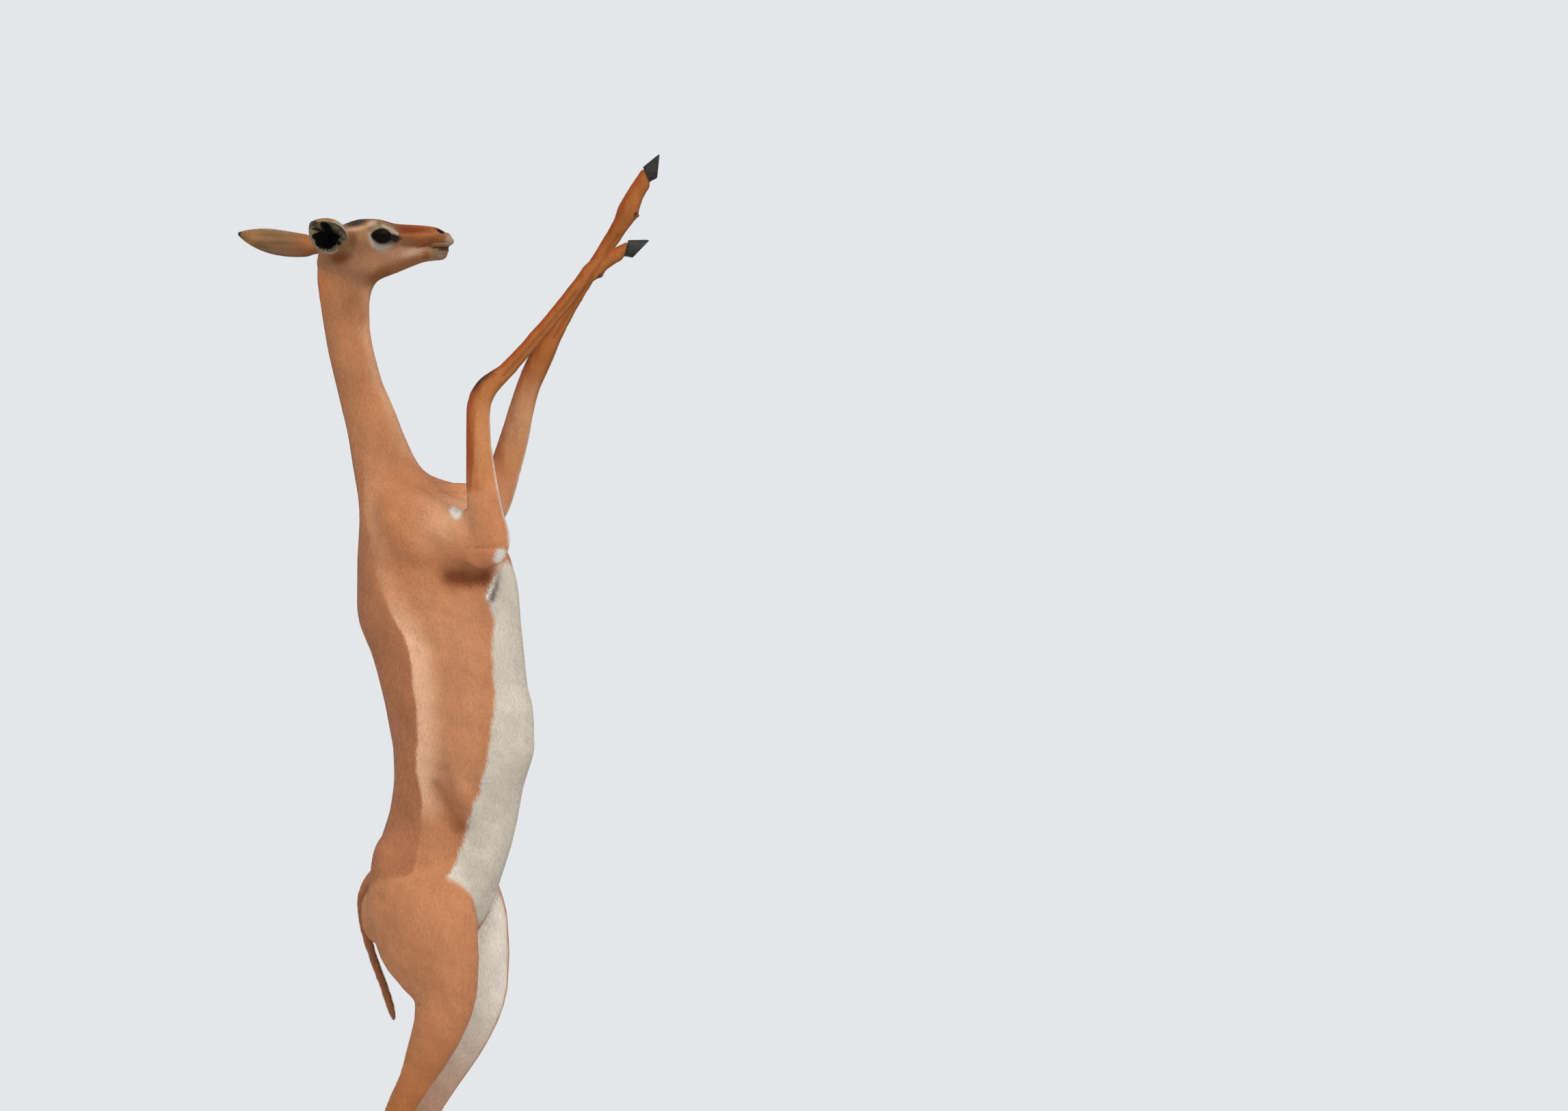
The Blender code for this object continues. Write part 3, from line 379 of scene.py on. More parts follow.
def add_hoof_plug(work, name, pastern):
    """The top of a claw, shrunk, so that the skin runs on inside the horn."""
    plug = solid(name, -HOOF_SHRINK)
    start = np.array(sum(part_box(pastern), Vector()) / 2 - SHIFT)
    spots = np.array([vertex.co for vertex in plug.verts])
    way = spots.mean(axis=0) - start
    way /= np.linalg.norm(way)
    along = (spots - start) @ way
    for vertex, reach in zip(plug.verts, along - along.min()):
        vertex.co = vertex.co - Vector(way * reach * 0.35)
    mesh = bpy.data.meshes.new("plug")
    plug.to_mesh(mesh)
    plug.free()
    work.from_mesh(mesh)
    bpy.data.meshes.remove(mesh)


FLESH_TREE = flesh_tree()


def make_skin():
    eyes = ["eye_left", "eye_right"]
    thing, _ = joined(FLESH + eyes, OVERLAP)
    work = bmesh.new()
    work.from_mesh(thing.data)
    for sign in SIDES:
        base, way = ear_base(sign)
        plug = Matrix.Translation(base + way * 0.020)
        bmesh.ops.create_icosphere(work, subdivisions=3, radius=0.0148, matrix=plug)
    for name in sorted(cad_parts):
        if "_hoof_" in name:
            add_hoof_plug(work, name, "_".join(name.split("_")[:3]).replace("hoof", "pastern"))
    work.to_mesh(thing.data)
    work.free()
    remesh = thing.modifiers.new("fuse", "REMESH")
    remesh.mode = "VOXEL"
    remesh.voxel_size = SKIN_VOXEL
    bake_modifiers(thing)
    keep_largest(thing)
    edges = mesh_edges(thing.data)
    spots = fair(mesh_spots(thing.data), edges, FAIRING_STEPS)
    trunk = np.isin(nearest_regions(spots), [REGION["torso"], REGION["neck"]]).astype(float)
    height = spots[:, 2]
    trunk *= ramp(height, 0.74, 0.84) * (1 - ramp(height, 1.50, 1.62))
    trunk = np.minimum(1, spread(trunk, edges, 14) * 1.3)
    spots = fair(spots, edges, TRUNK_FAIRING_STEPS, trunk, -0.505)
    flat = np.stack([seen_from_side(spots), spots[:, 2]], axis=1)
    calm = np.exp(-(line_distance(flat, CALMED_CREASE) / CALMED_WIDTH) ** 2) * trunk
    spots = fair(spots, edges, CALMING_STEPS, calm, 0.0)
    set_spots(thing.data, spots)
    refine(thing, on_head)
    refine(thing, in_fine_spots)
    exact, _ = joined(["head"] + eyes, 0.0)
    tree = BVHTree.FromObject(exact, bpy.context.evaluated_depsgraph_get())
    bpy.data.objects.remove(exact)
    spots = mesh_spots(thing.data)
    head = on_head(spots) & (spots[:, 2] > HEAD_FLOOR + 0.020 - 0.25 * (spots[:, 0] + 0.14))
    ears = np.zeros(len(spots), bool)
    for sign in SIDES:
        base, way = ear_base(sign)
        ears |= np.linalg.norm(spots - np.array(base + way * 0.014), axis=1) < 0.030
    head &= ~ears
    spots = settle_on(spots, tree, head)
    edges = mesh_edges(thing.data)
    spots = fair(spots, edges, 5, on_head(spots).astype(float))
    set_spots(thing.data, spots)
    set_spots(thing.data, spots - mesh_normals(thing.data) * COAT_DEPTH)
    thing.name = "skin"
    return thing


# Folds, tendons and the lines of the face: a line, its width and its height, inwards if negative.
# Those of the face are seen from the side, as x and z, with how far out from the midline the line begins.
MOUTH_LINE = ((0.0180, 1.8418), (0.0080, 1.8412), (-0.0060, 1.8404), (-0.0210, 1.8404), (-0.0245, 1.8412))
LIP_FRONT = ((0.0130, 1.8392), (0.0075, 1.8375), (-0.0010, 1.8385))
LIP_CREASE = ((0.0040, 1.8500), (-0.0220, 1.8478), (-0.0265, 1.8448), (-0.0330, 1.8432), (-0.0460, 1.8410))
NOSTRIL = ((-0.0140, 1.8722), (-0.0100, 1.8700), (-0.0045, 1.8675), (0.0000, 1.8672))
NOSTRIL_EDGE = ((-0.0172, 1.8740), (-0.0115, 1.8668), (-0.0058, 1.8633), (0.0016, 1.8650))
NOSTRIL_OUT = 0.0030        # from the midline to where the hollow begins
NOSTRIL_DEPTH = 0.0045
TEAR_LINE = ((-0.0885, 1.8600), (-0.0800, 1.8580), (-0.0735, 1.8556))
JAW_LINE = ((-0.0980, 1.8050), (-0.0600, 1.8160), (-0.0300, 1.8222))
CHEEK_FOLD = ((-0.0840, 1.8390), (-0.0620, 1.8400), (-0.0460, 1.8410))
BROW_FOLD = ((-0.1270, 1.8740), (-0.1130, 1.8790), (-0.0960, 1.8780), (-0.0830, 1.8700))
FACE_FOLDS = (
    (MOUTH_LINE, 0.0, 0.0013, -0.0026),
    (LIP_FRONT, 0.0, 0.0028, -0.0010),
    (LIP_CREASE, 0.006, 0.0026, -0.0009),
    (TEAR_LINE, 0.010, 0.0034, -0.0020),
    (JAW_LINE, 0.008, 0.0050, -0.0008),
    (CHEEK_FOLD, 0.010, 0.0040, -0.0008),
    (BROW_FOLD, 0.012, 0.0040, -0.0008),
)
BROW_STREAK = ((-0.1035, 1.8780), (-0.0920, 1.8734), (-0.0790, 1.8640))
NOSE_CLEFT = ((0.0185, 0.0, 1.8620), (0.0185, 0.0, 1.8500), (0.0165, 0.0, 1.8430))

# Folds of the body seen from the side: points of x and z, width, height. They are cut on both sides
BODY_FOLDS = (
    (((-0.004, 0.966), (0.010, 0.930), (0.026, 0.872)), 0.011, -0.0050),
    (((0.036, 0.930), (0.052, 0.900), (0.062, 0.860)), 0.014, 0.0030),
    (((0.040, 1.341), (0.086, 1.343)), 0.0030, -0.0014),
    (((0.004, 1.292), (0.045, 1.286), (0.082, 1.300)), 0.012, -0.0045),
    (((0.090, 1.300), (0.072, 1.256)), 0.0050, -0.0035),
    (((-0.042, 1.466), (-0.032, 1.441), (-0.020, 1.429), (0.014, 1.427)), 0.0040, -0.0022),
    (((-0.085, 1.300), (-0.070, 1.255), (-0.040, 1.232)), 0.016, -0.0030),
    (((-0.090, 1.385), (-0.050, 1.350), (-0.030, 1.300)), 0.015, 0.0025),
)

# Grooves between bone and tendon along the legs, as x and z on the outer and inner sides
RIGHT_TENDON = ((0.100, 1.628), (0.140, 1.672), (0.180, 1.718), (0.222, 1.768))
LEFT_TENDON = ((0.184, 1.690), (0.222, 1.752), (0.262, 1.816), (0.292, 1.862))
TENDON_DEPTH = 0.0020
TENDON_WIDTH = 0.0030


def face_distance(spots, points, begins=0.0):
    """Distance seen from the side to a line of the face; spots nearer the midline than begins are far."""
    away = line_distance(spots[:, (0, 2)], points)
    out = np.abs(spots[:, 1] - HEAD_Y)
    return away + np.maximum(begins - out, 0) * 2.5 + np.where(on_head(spots), 0.0, 1.0)


def push(mesh, nearest, width, height, mask=1.0):
    spots = mesh_spots(mesh)
    shift = height * np.exp(-(nearest / width) ** 2) * mask
    set_spots(mesh, spots + mesh_normals(mesh) * shift[:, None])


def almond_measure(spots, sign):
    """How far out each spot lies in the gap between the lids (1 at its edge), its offset and its rise."""
    away = spots - np.array((EYE_X, HEAD_Y + sign * EYE_OUT, EYE_Z))
    x = away[:, 0] * math.cos(LID_TILT) + away[:, 2] * math.sin(LID_TILT)
    z = -away[:, 0] * math.sin(LID_TILT) + away[:, 2] * math.cos(LID_TILT)
    along = np.abs(x) / (LID_OPENING[0] / 2)
    rise = np.abs(z) / (LID_OPENING[1] / 2)
    measure = (along ** 2 + rise ** LID_POINT) ** 0.5
    return measure, away, z


def open_lids(mesh):
    """Sink the skin behind each eyeball inside the lids' gap, and give the lids a thick rim and a fold."""
    for sign in SIDES:
        spots = mesh_spots(mesh)
        measure, away, z = almond_measure(spots, sign)
        reach = np.linalg.norm(away, axis=1)
        facing = (away[:, 1] * sign > 0.001) & (reach < 0.032)
        rim = EYE_RADIUS + 0.0020
        inside = 1 - ramp(measure, 0.94, 1.03)
        target = np.maximum(reach, rim) * (1 - inside) + (EYE_RADIUS - 0.0045) * inside
        fold = np.exp(-((measure - 1.52) / 0.13) ** 2) * np.where(z > 0, 1.0, 0.45)
        ridge = np.exp(-((measure - 1.16) / 0.11) ** 2)
        target = target + ridge * 0.0007 - fold * 0.0010
        ratio = np.where(facing, target / np.maximum(reach, 1e-6), 1.0)
        set_spots(mesh, spots + away * (ratio - 1)[:, None])


def nostril_share(spots):
    """1 inside the dark of either nostril, above its lower edge, and 0 outside it."""
    x, z = spots[:, 0], spots[:, 2]
    out = np.abs(spots[:, 1] - HEAD_Y)
    (rear, _), (front, _) = NOSTRIL_EDGE[0], NOSTRIL_EDGE[-1]
    above = ramp(z - np.interp(x, *zip(*NOSTRIL_EDGE)), -0.0004, 0.0008)
    between = ramp(x, rear, rear + 0.001) * (1 - ramp(x, front - 0.001, front))
    return above * between * ramp(out, 0.0010, 0.0018)


def open_nostrils(mesh):
    """Sink each nostril inwards, back and down."""
    spots = mesh_spots(mesh)
    away = face_distance(spots, NOSTRIL, NOSTRIL_OUT)
    deep = np.exp(-(away / 0.0034) ** 2) * NOSTRIL_DEPTH
    inward = -np.sign(spots[:, 1] - HEAD_Y)
    way = np.stack([np.full(len(spots), -0.30), inward * 0.12, np.full(len(spots), -0.80)], axis=1)
    set_spots(mesh, spots + way * deep[:, None])


def sculpt(mesh):
    open_lids(mesh)
    open_nostrils(mesh)
    for points, begins, width, height in FACE_FOLDS:
        push(mesh, face_distance(mesh_spots(mesh), points, begins), width, height)
    spots = mesh_spots(mesh)
    lips = (face_distance(spots, MOUTH_LINE) < 0.0060) & (spots[:, 0] > -0.006)
    set_spots(mesh, fair(spots, mesh_edges(mesh), 8, lips.astype(float), 0.0))
    cleft = [(x, HEAD_Y + out, z) for x, out, z in NOSE_CLEFT]
    push(mesh, line_distance(mesh_spots(mesh), cleft), 0.0012, -0.0010)
    for sign in SIDES:
        for points, width, height in BODY_FOLDS:
            spots = mesh_spots(mesh)
            forward, left = trunk_axes(spots)
            # the lines were seen on the right side, so the left side takes their mirror image
            mirrored = np.where(left * sign > 0, np.abs(left), -1.0)
            seen_x = MIDLINE_X + forward * math.cos(YAW) - mirrored * math.sin(YAW)
            away = line_distance(np.stack([seen_x, spots[:, 2]], axis=1), points)
            side = ramp(mirrored, 0.015, 0.045)
            push(mesh, away, width, height, side)
    for points in (RIGHT_TENDON, LEFT_TENDON):
        spots = mesh_spots(mesh)
        away = line_distance(spots[:, (0, 2)], points)
        side = ramp(np.abs(mesh_normals(mesh)[:, 1]), 0.3, 0.8)
        push(mesh, away, TENDON_WIDTH, -TENDON_DEPTH, side)


# Regions and the lie of the coat

def lie_of_coat(spots, region):
    """Direction of the hair at each spot, before it is smoothed over the skin."""
    middles = {name: (sum(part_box(name), Vector()) / 2 - SHIFT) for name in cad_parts}
    ways = np.zeros((len(spots), 3))
    for name, target in RUNS_TO.items():
        way = (middles[target] - middles[name]).normalized() if target else Vector((0, 0, -1))
        ways[region == REGION[name]] = way
    _, left = trunk_axes(spots)
    height = spots[:, 2]
    trunk = (region == REGION["torso"]) & (height > 0.72)
    belly_way = np.array((math.cos(YAW), -math.sin(YAW), 0.0))
    sideways = np.clip(np.abs(left) / 0.06, 0, 1)
    lean = 0.45 + 0.55 * ramp(height, 1.10, 1.30)
    slant = np.array((0, 0, -1.0)) + belly_way * (lean * sideways)[:, None]
    ways[trunk] = slant[trunk]
    head = region == REGION["head"]
    ways[head] = (-0.95, 0.0, -0.30)
    ways[head & (spots[:, 0] < -0.165)] = (-0.15, 0.0, -1.0)
    ways[region == REGION["neck"]] = np.array((0.16, 0.0, -1.0))
    return ways / np.linalg.norm(ways, axis=1)[:, None]


def flatten(ways, normals):
    ways = ways - normals * np.sum(ways * normals, axis=1)[:, None]
    return ways / np.maximum(np.linalg.norm(ways, axis=1), 1e-9)[:, None]


# Markings

# Edge of the white belly and of the dark saddle: height, forward in the trunk's own axes
WHITE_EDGE = (
    (0.70, 0.000), (0.78, 0.050), (0.872, 0.083), (0.910, 0.093),
    (0.945, 0.105), (0.982, 0.120), (1.019, 0.126), (1.091, 0.130),
    (1.157, 0.125), (1.215, 0.119), (1.268, 0.113), (1.300, 0.118),
    (1.330, 0.130), (1.380, 0.150),
)
SADDLE_EDGE = (
    (0.60, -0.020), (0.82, -0.004), (0.912, 0.003), (0.964, -0.007),
    (1.019, -0.001), (1.091, -0.001), (1.163, -0.010), (1.193, -0.023),
    (1.231, -0.053), (1.304, -0.089), (1.400, -0.120),
)

# Patches of the top of the head: colour, (x, out, z), half sizes, softness, strength
CROWN_PATCHES = (
    (linear(140, 66, 24), (-0.046, 0.000, 1.8845), (0.056, 0.0185, 0.0155), 0.30, 0.9),
    (linear(122, 50, 16), (-0.072, 0.000, 1.8875), (0.046, 0.0130, 0.0100), 0.50, 0.9),
    (linear(118, 64, 34), (-0.105, 0.000, 1.8940), (0.050, 0.011, 0.012), 0.45, 0.8),
    (linear(64, 50, 42), (-0.148, 0.000, 1.8840), (0.020, 0.032, 0.0125), 0.35, 0.95),
    (linear(44, 34, 30), (-0.152, 0.000, 1.8850), (0.015, 0.027, 0.0100), 0.50, 0.8),
)

# Patches on both sides of the face, seen from the side: colour, (x, z), half sizes, how far the long
# axis turns up towards the nose in degrees, softness, strength
FACE_PATCHES = (
    (linear(160, 120, 92), (-0.0690, 1.8342), (0.0391, 0.0103), 12, 0.60, 0.90),
    (linear(158, 110, 79), (-0.1207, 1.8216), (0.0322, 0.0173), 0, 0.70, 0.90),
    (linear(174, 138, 112), (-0.0552, 1.8331), (0.0161, 0.0052), 14, 0.60, 0.80),
    (linear(130, 84, 50), (-0.0575, 1.8147), (0.0391, 0.0052), 20, 0.70, 0.90),
    # painted shade in the crease where the jaw meets the throat
    (linear(124, 73, 38), (-0.1081, 1.7940), (0.0230, 0.0103), 28, 0.70, 0.85),
    (linear(112, 84, 54), (-0.1633, 1.8365), (0.0103, 0.0161), 0, 0.60, 0.85),
    (linear(103, 54, 20), (-0.1759, 1.8239), (0.0149, 0.0103), 0, 0.70, 0.90),
    (linear(100, 66, 38), (-0.1541, 1.8538), (0.0080, 0.0115), 0, 0.70, 0.85),
    (linear(148, 108, 78), (-0.1368, 1.8630), (0.0103, 0.0115), 0, 0.70, 0.70),
    (linear(184, 142, 110), (-0.1484, 1.8734), (0.0161, 0.0044), 8, 0.60, 0.90),
    (linear(120, 68, 34), (-0.0345, 1.8549), (0.0460, 0.0126), 0, 0.40, 0.95),
    (linear(156, 94, 50), (-0.0391, 1.8650), (0.0253, 0.0060), 0, 0.70, 0.90),
    (linear(112, 42, 10), (-0.0600, 1.8730), (0.0360, 0.0085), -3, 0.50, 0.97),
    (linear(112, 74, 48), (-0.0644, 1.8515), (0.0115, 0.0069), 0, 0.70, 0.80),
    # painted shade under the nostril, on the upper lip
    (linear(106, 66, 36), (-0.0161, 1.8521), (0.0173, 0.0037), 0, 0.60, 0.80),
    (linear(158, 146, 131), (-0.1050, 1.8580), (0.0222, 0.0232), 0, 0.20, 0.97),
    (linear(112, 93, 71), (-0.1012, 1.8768), (0.0207, 0.0069), -10, 0.60, 0.90),
    (linear(170, 148, 124), (-0.1219, 1.8814), (0.0092, 0.0041), 20, 0.60, 0.90),
    (linear(124, 90, 62), (-0.1207, 1.8716), (0.0063, 0.0048), 20, 0.60, 0.80),
    (linear(70, 56, 44), (-0.0886, 1.8515), (0.0115, 0.0063), 10, 0.70, 0.85),
    (linear(22, 17, 12), (-0.0835, 1.8564), (0.0100, 0.0068), -14, 0.35, 1.00),
    (linear(132, 100, 66), (-0.0080, 1.8454), (0.0173, 0.0026), 2, 0.40, 0.90),
    (linear(142, 128, 108), (0.0098, 1.8538), (0.0080, 0.0110), -35, 0.50, 0.85),
    (linear(110, 92, 70), (-0.0103, 1.8296), (0.0115, 0.0080), 0, 0.40, 0.90),
    (linear(130, 111, 90), (-0.0069, 1.8239), (0.0080, 0.0046), 0, 0.60, 0.80),
    (linear(118, 72, 40), (-0.0305, 1.8274), (0.0057, 0.0080), -20, 0.70, 0.85),
    (linear(46, 34, 20), (-0.0023, 1.8377), (0.0092, 0.0032), 0, 0.50, 0.90),
)

# Dark lines of the head: colour, line, how far out from the midline it begins, width, strength
HEAD_LINES = (
    (BLACK, MOUTH_LINE, 0.0, 0.0014, 0.95),
    (linear(60, 44, 34), LIP_FRONT, 0.0, 0.0032, 0.85),
    # painted shade along the crease beside the upper lip
    (linear(96, 60, 36), LIP_CREASE, 0.006, 0.0013, 0.75),
    (linear(172, 146, 120), BROW_STREAK, 0.012, 0.0026, 0.75),
)

# Small patches of the trunk and forelegs seen from the side: colour, (x, z), half sizes, softness
BODY_PATCHES = (
    (WHITE, (0.0220, 1.4050), (0.0120, 0.0145), 0.25),
    (WHITE, (0.0975, 1.3235), (0.0125, 0.0185), 0.35),
)
NECK_PATCHES = (
    (linear(132, 88, 52), (-0.1560, 1.7470), (0.026, 0.026), 0.60),
    (linear(120, 62, 26), (-0.1380, 1.7250), (0.008, 0.014), 0.45),
    (linear(184, 112, 64), (-0.2080, 1.7800), (0.012, 0.050), 0.70),
    (linear(164, 124, 94), (-0.1080, 1.7500), (0.012, 0.045), 0.60),
)
# painted shadow cast under the elbow fold: line, width
ELBOW_FOLD_SHADOW = (((0.012, 1.292), (0.045, 1.286), (0.070, 1.290)), 0.017)
# painted shade in the armpit crease: line, width
ARMPIT = (((0.0940, 1.294), (0.0870, 1.274), (0.0790, 1.255)), 0.0060)
ARMPIT_LINE = (((0.0930, 1.312), (0.0850, 1.288), (0.0725, 1.257)), 0.0032)
# painted shade in the fold in front of the thigh: line, width
FLANK_FOLD = (((-0.010, 0.945), (0.008, 0.915), (0.026, 0.872)), 0.015)
KNEE_TUFTS = (
    ((0.0520, -0.125, 1.6110), (0.0740, -0.123, 1.6370)),
    ((0.1330, 0.044, 1.6500), (0.1500, 0.041, 1.6800)),
)
KNEE_TUFT_WIDTH = 0.0105
DEWCLAWS = {                # x and z of the pair above each raised pastern
    "fore_pastern_left": (0.3235, 1.8955),
    "fore_pastern_right": (0.2634, 1.7935),
}
DEWCLAW_RADIUS = 0.0055
DEWCLAW = linear(34, 28, 24)


def rear_edge(normals):
    """1 on the edge of the raised arms that faces away from the body, where a white line runs."""
    return ramp(normals[:, 0] * math.cos(YAW), 0.70, 0.95)


def trunk_colours(spots, normals):
    forward, left = trunk_axes(spots)
    height = spots[:, 2]
    edge_noise = ripple(spots, 190, 3) * 0.0008 + ripple(spots, 60, 4) * 0.0012
    white_edge = np.interp(height, *zip(*WHITE_EDGE)) + edge_noise
    elbows = ramp(np.abs(left), 0.045, 0.070) * ramp(height, 1.290, 1.315)
    white_edge += elbows * 0.10
    saddle_edge = np.interp(height, *zip(*SADDLE_EDGE)) + edge_noise
    colours = np.tile(FLANK, (len(spots), 1))
    colours = tint(colours, RUMP, 1 - ramp(height, 0.86, 0.93))
    colours = tint(colours, SHOULDER, ramp(height, 1.20, 1.32))
    from_saddle = forward - saddle_edge
    band = ramp(from_saddle, -0.002, 0.004) * (1 - ramp(from_saddle, 0.010, 0.062))
    band *= ramp(height, 0.86, 0.95) * (1 - 0.75 * ramp(height, 1.16, 1.28))
    colours = tint(colours, BAND, band)
    near_white = ramp(forward - white_edge, -0.035, 0.0)
    colours = tint(colours, FLANK_EDGE, near_white * 0.6)
    sharp = 0.0035 + 0.022 * ramp(height, 1.20, 1.32)
    dark = 1 - ramp(from_saddle, -sharp, sharp)
    colours = tint(colours, SADDLE, dark * (1 - 0.55 * ramp(height, 1.28, 1.42)))
    breast = np.exp(-(((forward - 0.055) / 0.050) ** 2 + ((height - 1.395) / 0.050) ** 2))
    colours = tint(colours, BREAST, breast * 0.85)
    # below the white edge the belly takes its shaded white: painted shade
    colours = tint(colours, SHADED_BELLY_WHITE, ramp(forward - white_edge, -0.0035, 0.0035))
    arms = ramp(np.abs(left), 0.050, 0.075) * ramp(height, 1.33, 1.36)
    colours = tint(colours, WHITE, rear_edge(normals) * arms * (1 - ramp(height, 1.50, 1.56)) * 0.85)
    neck = ramp(height, 1.42, 1.52)
    neck_colour = np.tile(NECK, (len(spots), 1))
    facing = normals[:, 0] * math.cos(YAW * 0.6) - normals[:, 1] * math.sin(YAW * 0.6)
    neck_colour = tint(neck_colour, THROAT, ramp(facing, 0.45, 0.95) * 0.7)
    neck_colour = tint(neck_colour, NAPE, ramp(-facing, 0.70, 1.0) * 0.9)
    colours = tint(colours, neck_colour, neck)
    withers = ramp(-facing, 0.80, 1.0) * ramp(height, 1.25, 1.36) * (1 - neck)
    return tint(colours, NAPE, withers * 0.8)


def seen_from_side(spots):
    """x as the photo would show it on the right side, also for spots on the left."""
    forward, left = trunk_axes(spots)
    return MIDLINE_X + forward * math.cos(YAW) - np.abs(left) * math.sin(YAW)


def fold_colours(colours, spots):
    flat = np.stack([seen_from_side(spots), spots[:, 2]], axis=1)
    _, left = trunk_axes(spots)
    side = ramp(np.abs(left), 0.02, 0.05)
    # painted shadow under the elbow fold and painted shade in the flank fold
    for (points, width), strength in ((ELBOW_FOLD_SHADOW, 0.85), (FLANK_FOLD, 0.60)):
        away = line_distance(flat, points) + ripple(spots, 120, 8) * 0.002
        colours = tint(colours, SHADOW, np.exp(-(away / width) ** 2) * strength * side)
    # painted shade in the armpit, then the white line along the arm's edge
    for (points, width), colour in ((ARMPIT, linear(56, 46, 40)), (ARMPIT_LINE, WHITE)):
        away = line_distance(flat, points)
        colours = tint(colours, colour, np.exp(-(away / width) ** 2) * 0.9 * side)
    return colours


def dewclaw_share(spots):
    """1 on the small horny claws behind the raised fetlocks, fading to 0 at their rim."""
    shown = np.zeros(len(spots))
    for pastern, (x, z) in DEWCLAWS.items():
        middle = sum(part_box(pastern), Vector()) / 2 - SHIFT
        away = np.hypot(spots[:, 0] - x, spots[:, 2] - z)
        near = 1 - ramp(away, DEWCLAW_RADIUS * 0.8, DEWCLAW_RADIUS * 1.15)
        apart = ramp(np.abs(spots[:, 1] - middle.y), 0.0035, 0.0060)
        shown = np.maximum(shown, near * apart)
    return shown


def near_knee_tufts(spots):
    away = np.minimum(*(line_distance(spots, points) for points in KNEE_TUFTS))
    return np.exp(-(away / KNEE_TUFT_WIDTH) ** 2)


def leg_colours(spots, normals, region):
    """Rufous outside, paler inside, darker along the front and down to the feet."""
    _, left = trunk_axes(spots)
    is_leg = np.isin(region, LEGS)
    right = np.where(is_leg, np.isin(region, RIGHT_LEGS), left < 0)
    fore = np.where(is_leg, np.isin(region, FORE_LEGS), spots[:, 2] > 1.1)
    outside = np.where(right, -1.0, 1.0) * normals[:, 1]
    height = spots[:, 2]
    colours = np.tile(RUMP, (len(spots), 1))
    lower = 1 - ramp(height, 0.36, 0.60)
    colours = tint(colours, CANNON, lower * 0.8)
    colours = tint(colours, LEG_WHITE, ramp(-outside, 0.15, 0.55) * (1 - lower * 0.75))
    fore_colours = tint(np.tile(SHOULDER, (len(spots), 1)), FORELEG, ramp(height, 1.38, 1.50))
    raised = ramp(height, 1.52, 1.66)
    fore_colours = tint(fore_colours, CANNON, raised)
    streaks = ripple(spots * (1, 1, 0.12), 420, 12)
    leading = ramp(-normals[:, 0] * 0.8 + normals[:, 2] * 0.5 + streaks * 0.12, 0.05, 0.75)
    fore_colours = tint(fore_colours, FORELEG_FRONT, leading * 0.90)
    inner = ramp(-outside, 0.05, 0.60) * ramp(height, 1.42, 1.62)
    fore_colours = tint(fore_colours, LEG_INSIDE, inner * (1 - raised) * 0.55)
    rear = rear_edge(normals) * (1 - ramp(height, 1.46, 1.60)) * ramp(height, 1.335, 1.36)
    fore_colours = tint(fore_colours, WHITE, rear * np.where(outside > -0.2, 0.85, 0.6))
    # the raised legs darken on the side facing forward and down: painted shade
    shaded_underside = ramp(normals[:, 0] * 0.75 - normals[:, 2] * 0.6, 0.45, 0.95)
    fore_colours = tint(fore_colours, CANNON_SHADE, shaded_underside * raised * 0.7)
    # the grooves beside the tendons are darkened: painted shade in the grooves
    for points in (RIGHT_TENDON, LEFT_TENDON):
        away = line_distance(spots[:, (0, 2)], points)
        fore_colours = tint(fore_colours, CANNON_SHADE, np.exp(-(away / TENDON_WIDTH) ** 2) * 0.55)
    colours = np.where(fore[:, None], fore_colours, colours)
    colours = tint(colours, DEWCLAW, dewclaw_share(spots) * fore)
    return tint(colours, KNEE_TUFT, near_knee_tufts(spots) * 0.95)


def head_colours(spots):
    colours = np.tile(FACE, (len(spots), 1))
    out = np.abs(spots[:, 1] - HEAD_Y)
    wave = 1 + 0.05 * ripple(spots, 260, 6)
    for colour, (x, z), (long, short), turn, soft, strength in FACE_PATCHES:
        turn = math.radians(turn)
        ahead = (spots[:, 0] - x) * math.cos(turn) + (spots[:, 2] - z) * math.sin(turn)
        above = (spots[:, 2] - z) * math.cos(turn) - (spots[:, 0] - x) * math.sin(turn)
        away = np.hypot(ahead / long, above / short) * wave
        colours = tint(colours, colour, (1 - ramp(away, 1 - soft, 1 + soft)) * strength)
    for colour, (x, side, z), (rx, ry, rz), soft, strength in CROWN_PATCHES:
        away = ((spots[:, 0] - x) / rx) ** 2 + ((out - side) / ry) ** 2 + ((spots[:, 2] - z) / rz) ** 2
        away = np.sqrt(away) * wave
        colours = tint(colours, colour, (1 - ramp(away, 1 - soft, 1 + soft)) * strength)
    for colour, points, begins, width, strength in HEAD_LINES:
        away = face_distance(spots, points, begins)
        colours = tint(colours, colour, np.exp(-(away / width) ** 4) * strength)
    speckle = ramp(ripple(spots, 1700, 9), 1.1, 1.9) * ramp(spots[:, 0], -0.075, -0.035)
    colours = tint(colours, linear(70, 40, 22), speckle * 0.5)
    for sign in SIDES:
        measure, away, _ = almond_measure(spots, sign)
        near = (np.linalg.norm(away, axis=1) < 0.032) & (away[:, 1] * sign > 0)
        rim = (1 - ramp(measure, 1.14, 1.32)) * near
        colours = tint(colours, linear(16, 12, 10), rim)
        base, way = ear_base(sign)
        # the skin at the foot of each ear's cup takes the cup's dark: dark skin and painted shade
        from_ear = spots - np.array(base + way * 0.018)
        ahead = np.array(way + Vector(EARS[sign][2]).normalized()) / 2
        cup = 1 - ramp(np.linalg.norm(from_ear, axis=1), 0.017, 0.020)
        cup *= ramp(from_ear @ np.array(way), 0.000, 0.004)
        colours = tint(colours, EAR_SKIN_AND_SHADE, cup * ramp(from_ear @ ahead, -0.006, -0.003))
    # the nostrils' hollows are painted near black: painted shade of the openings
    return tint(colours, linear(8, 6, 6), nostril_share(spots))


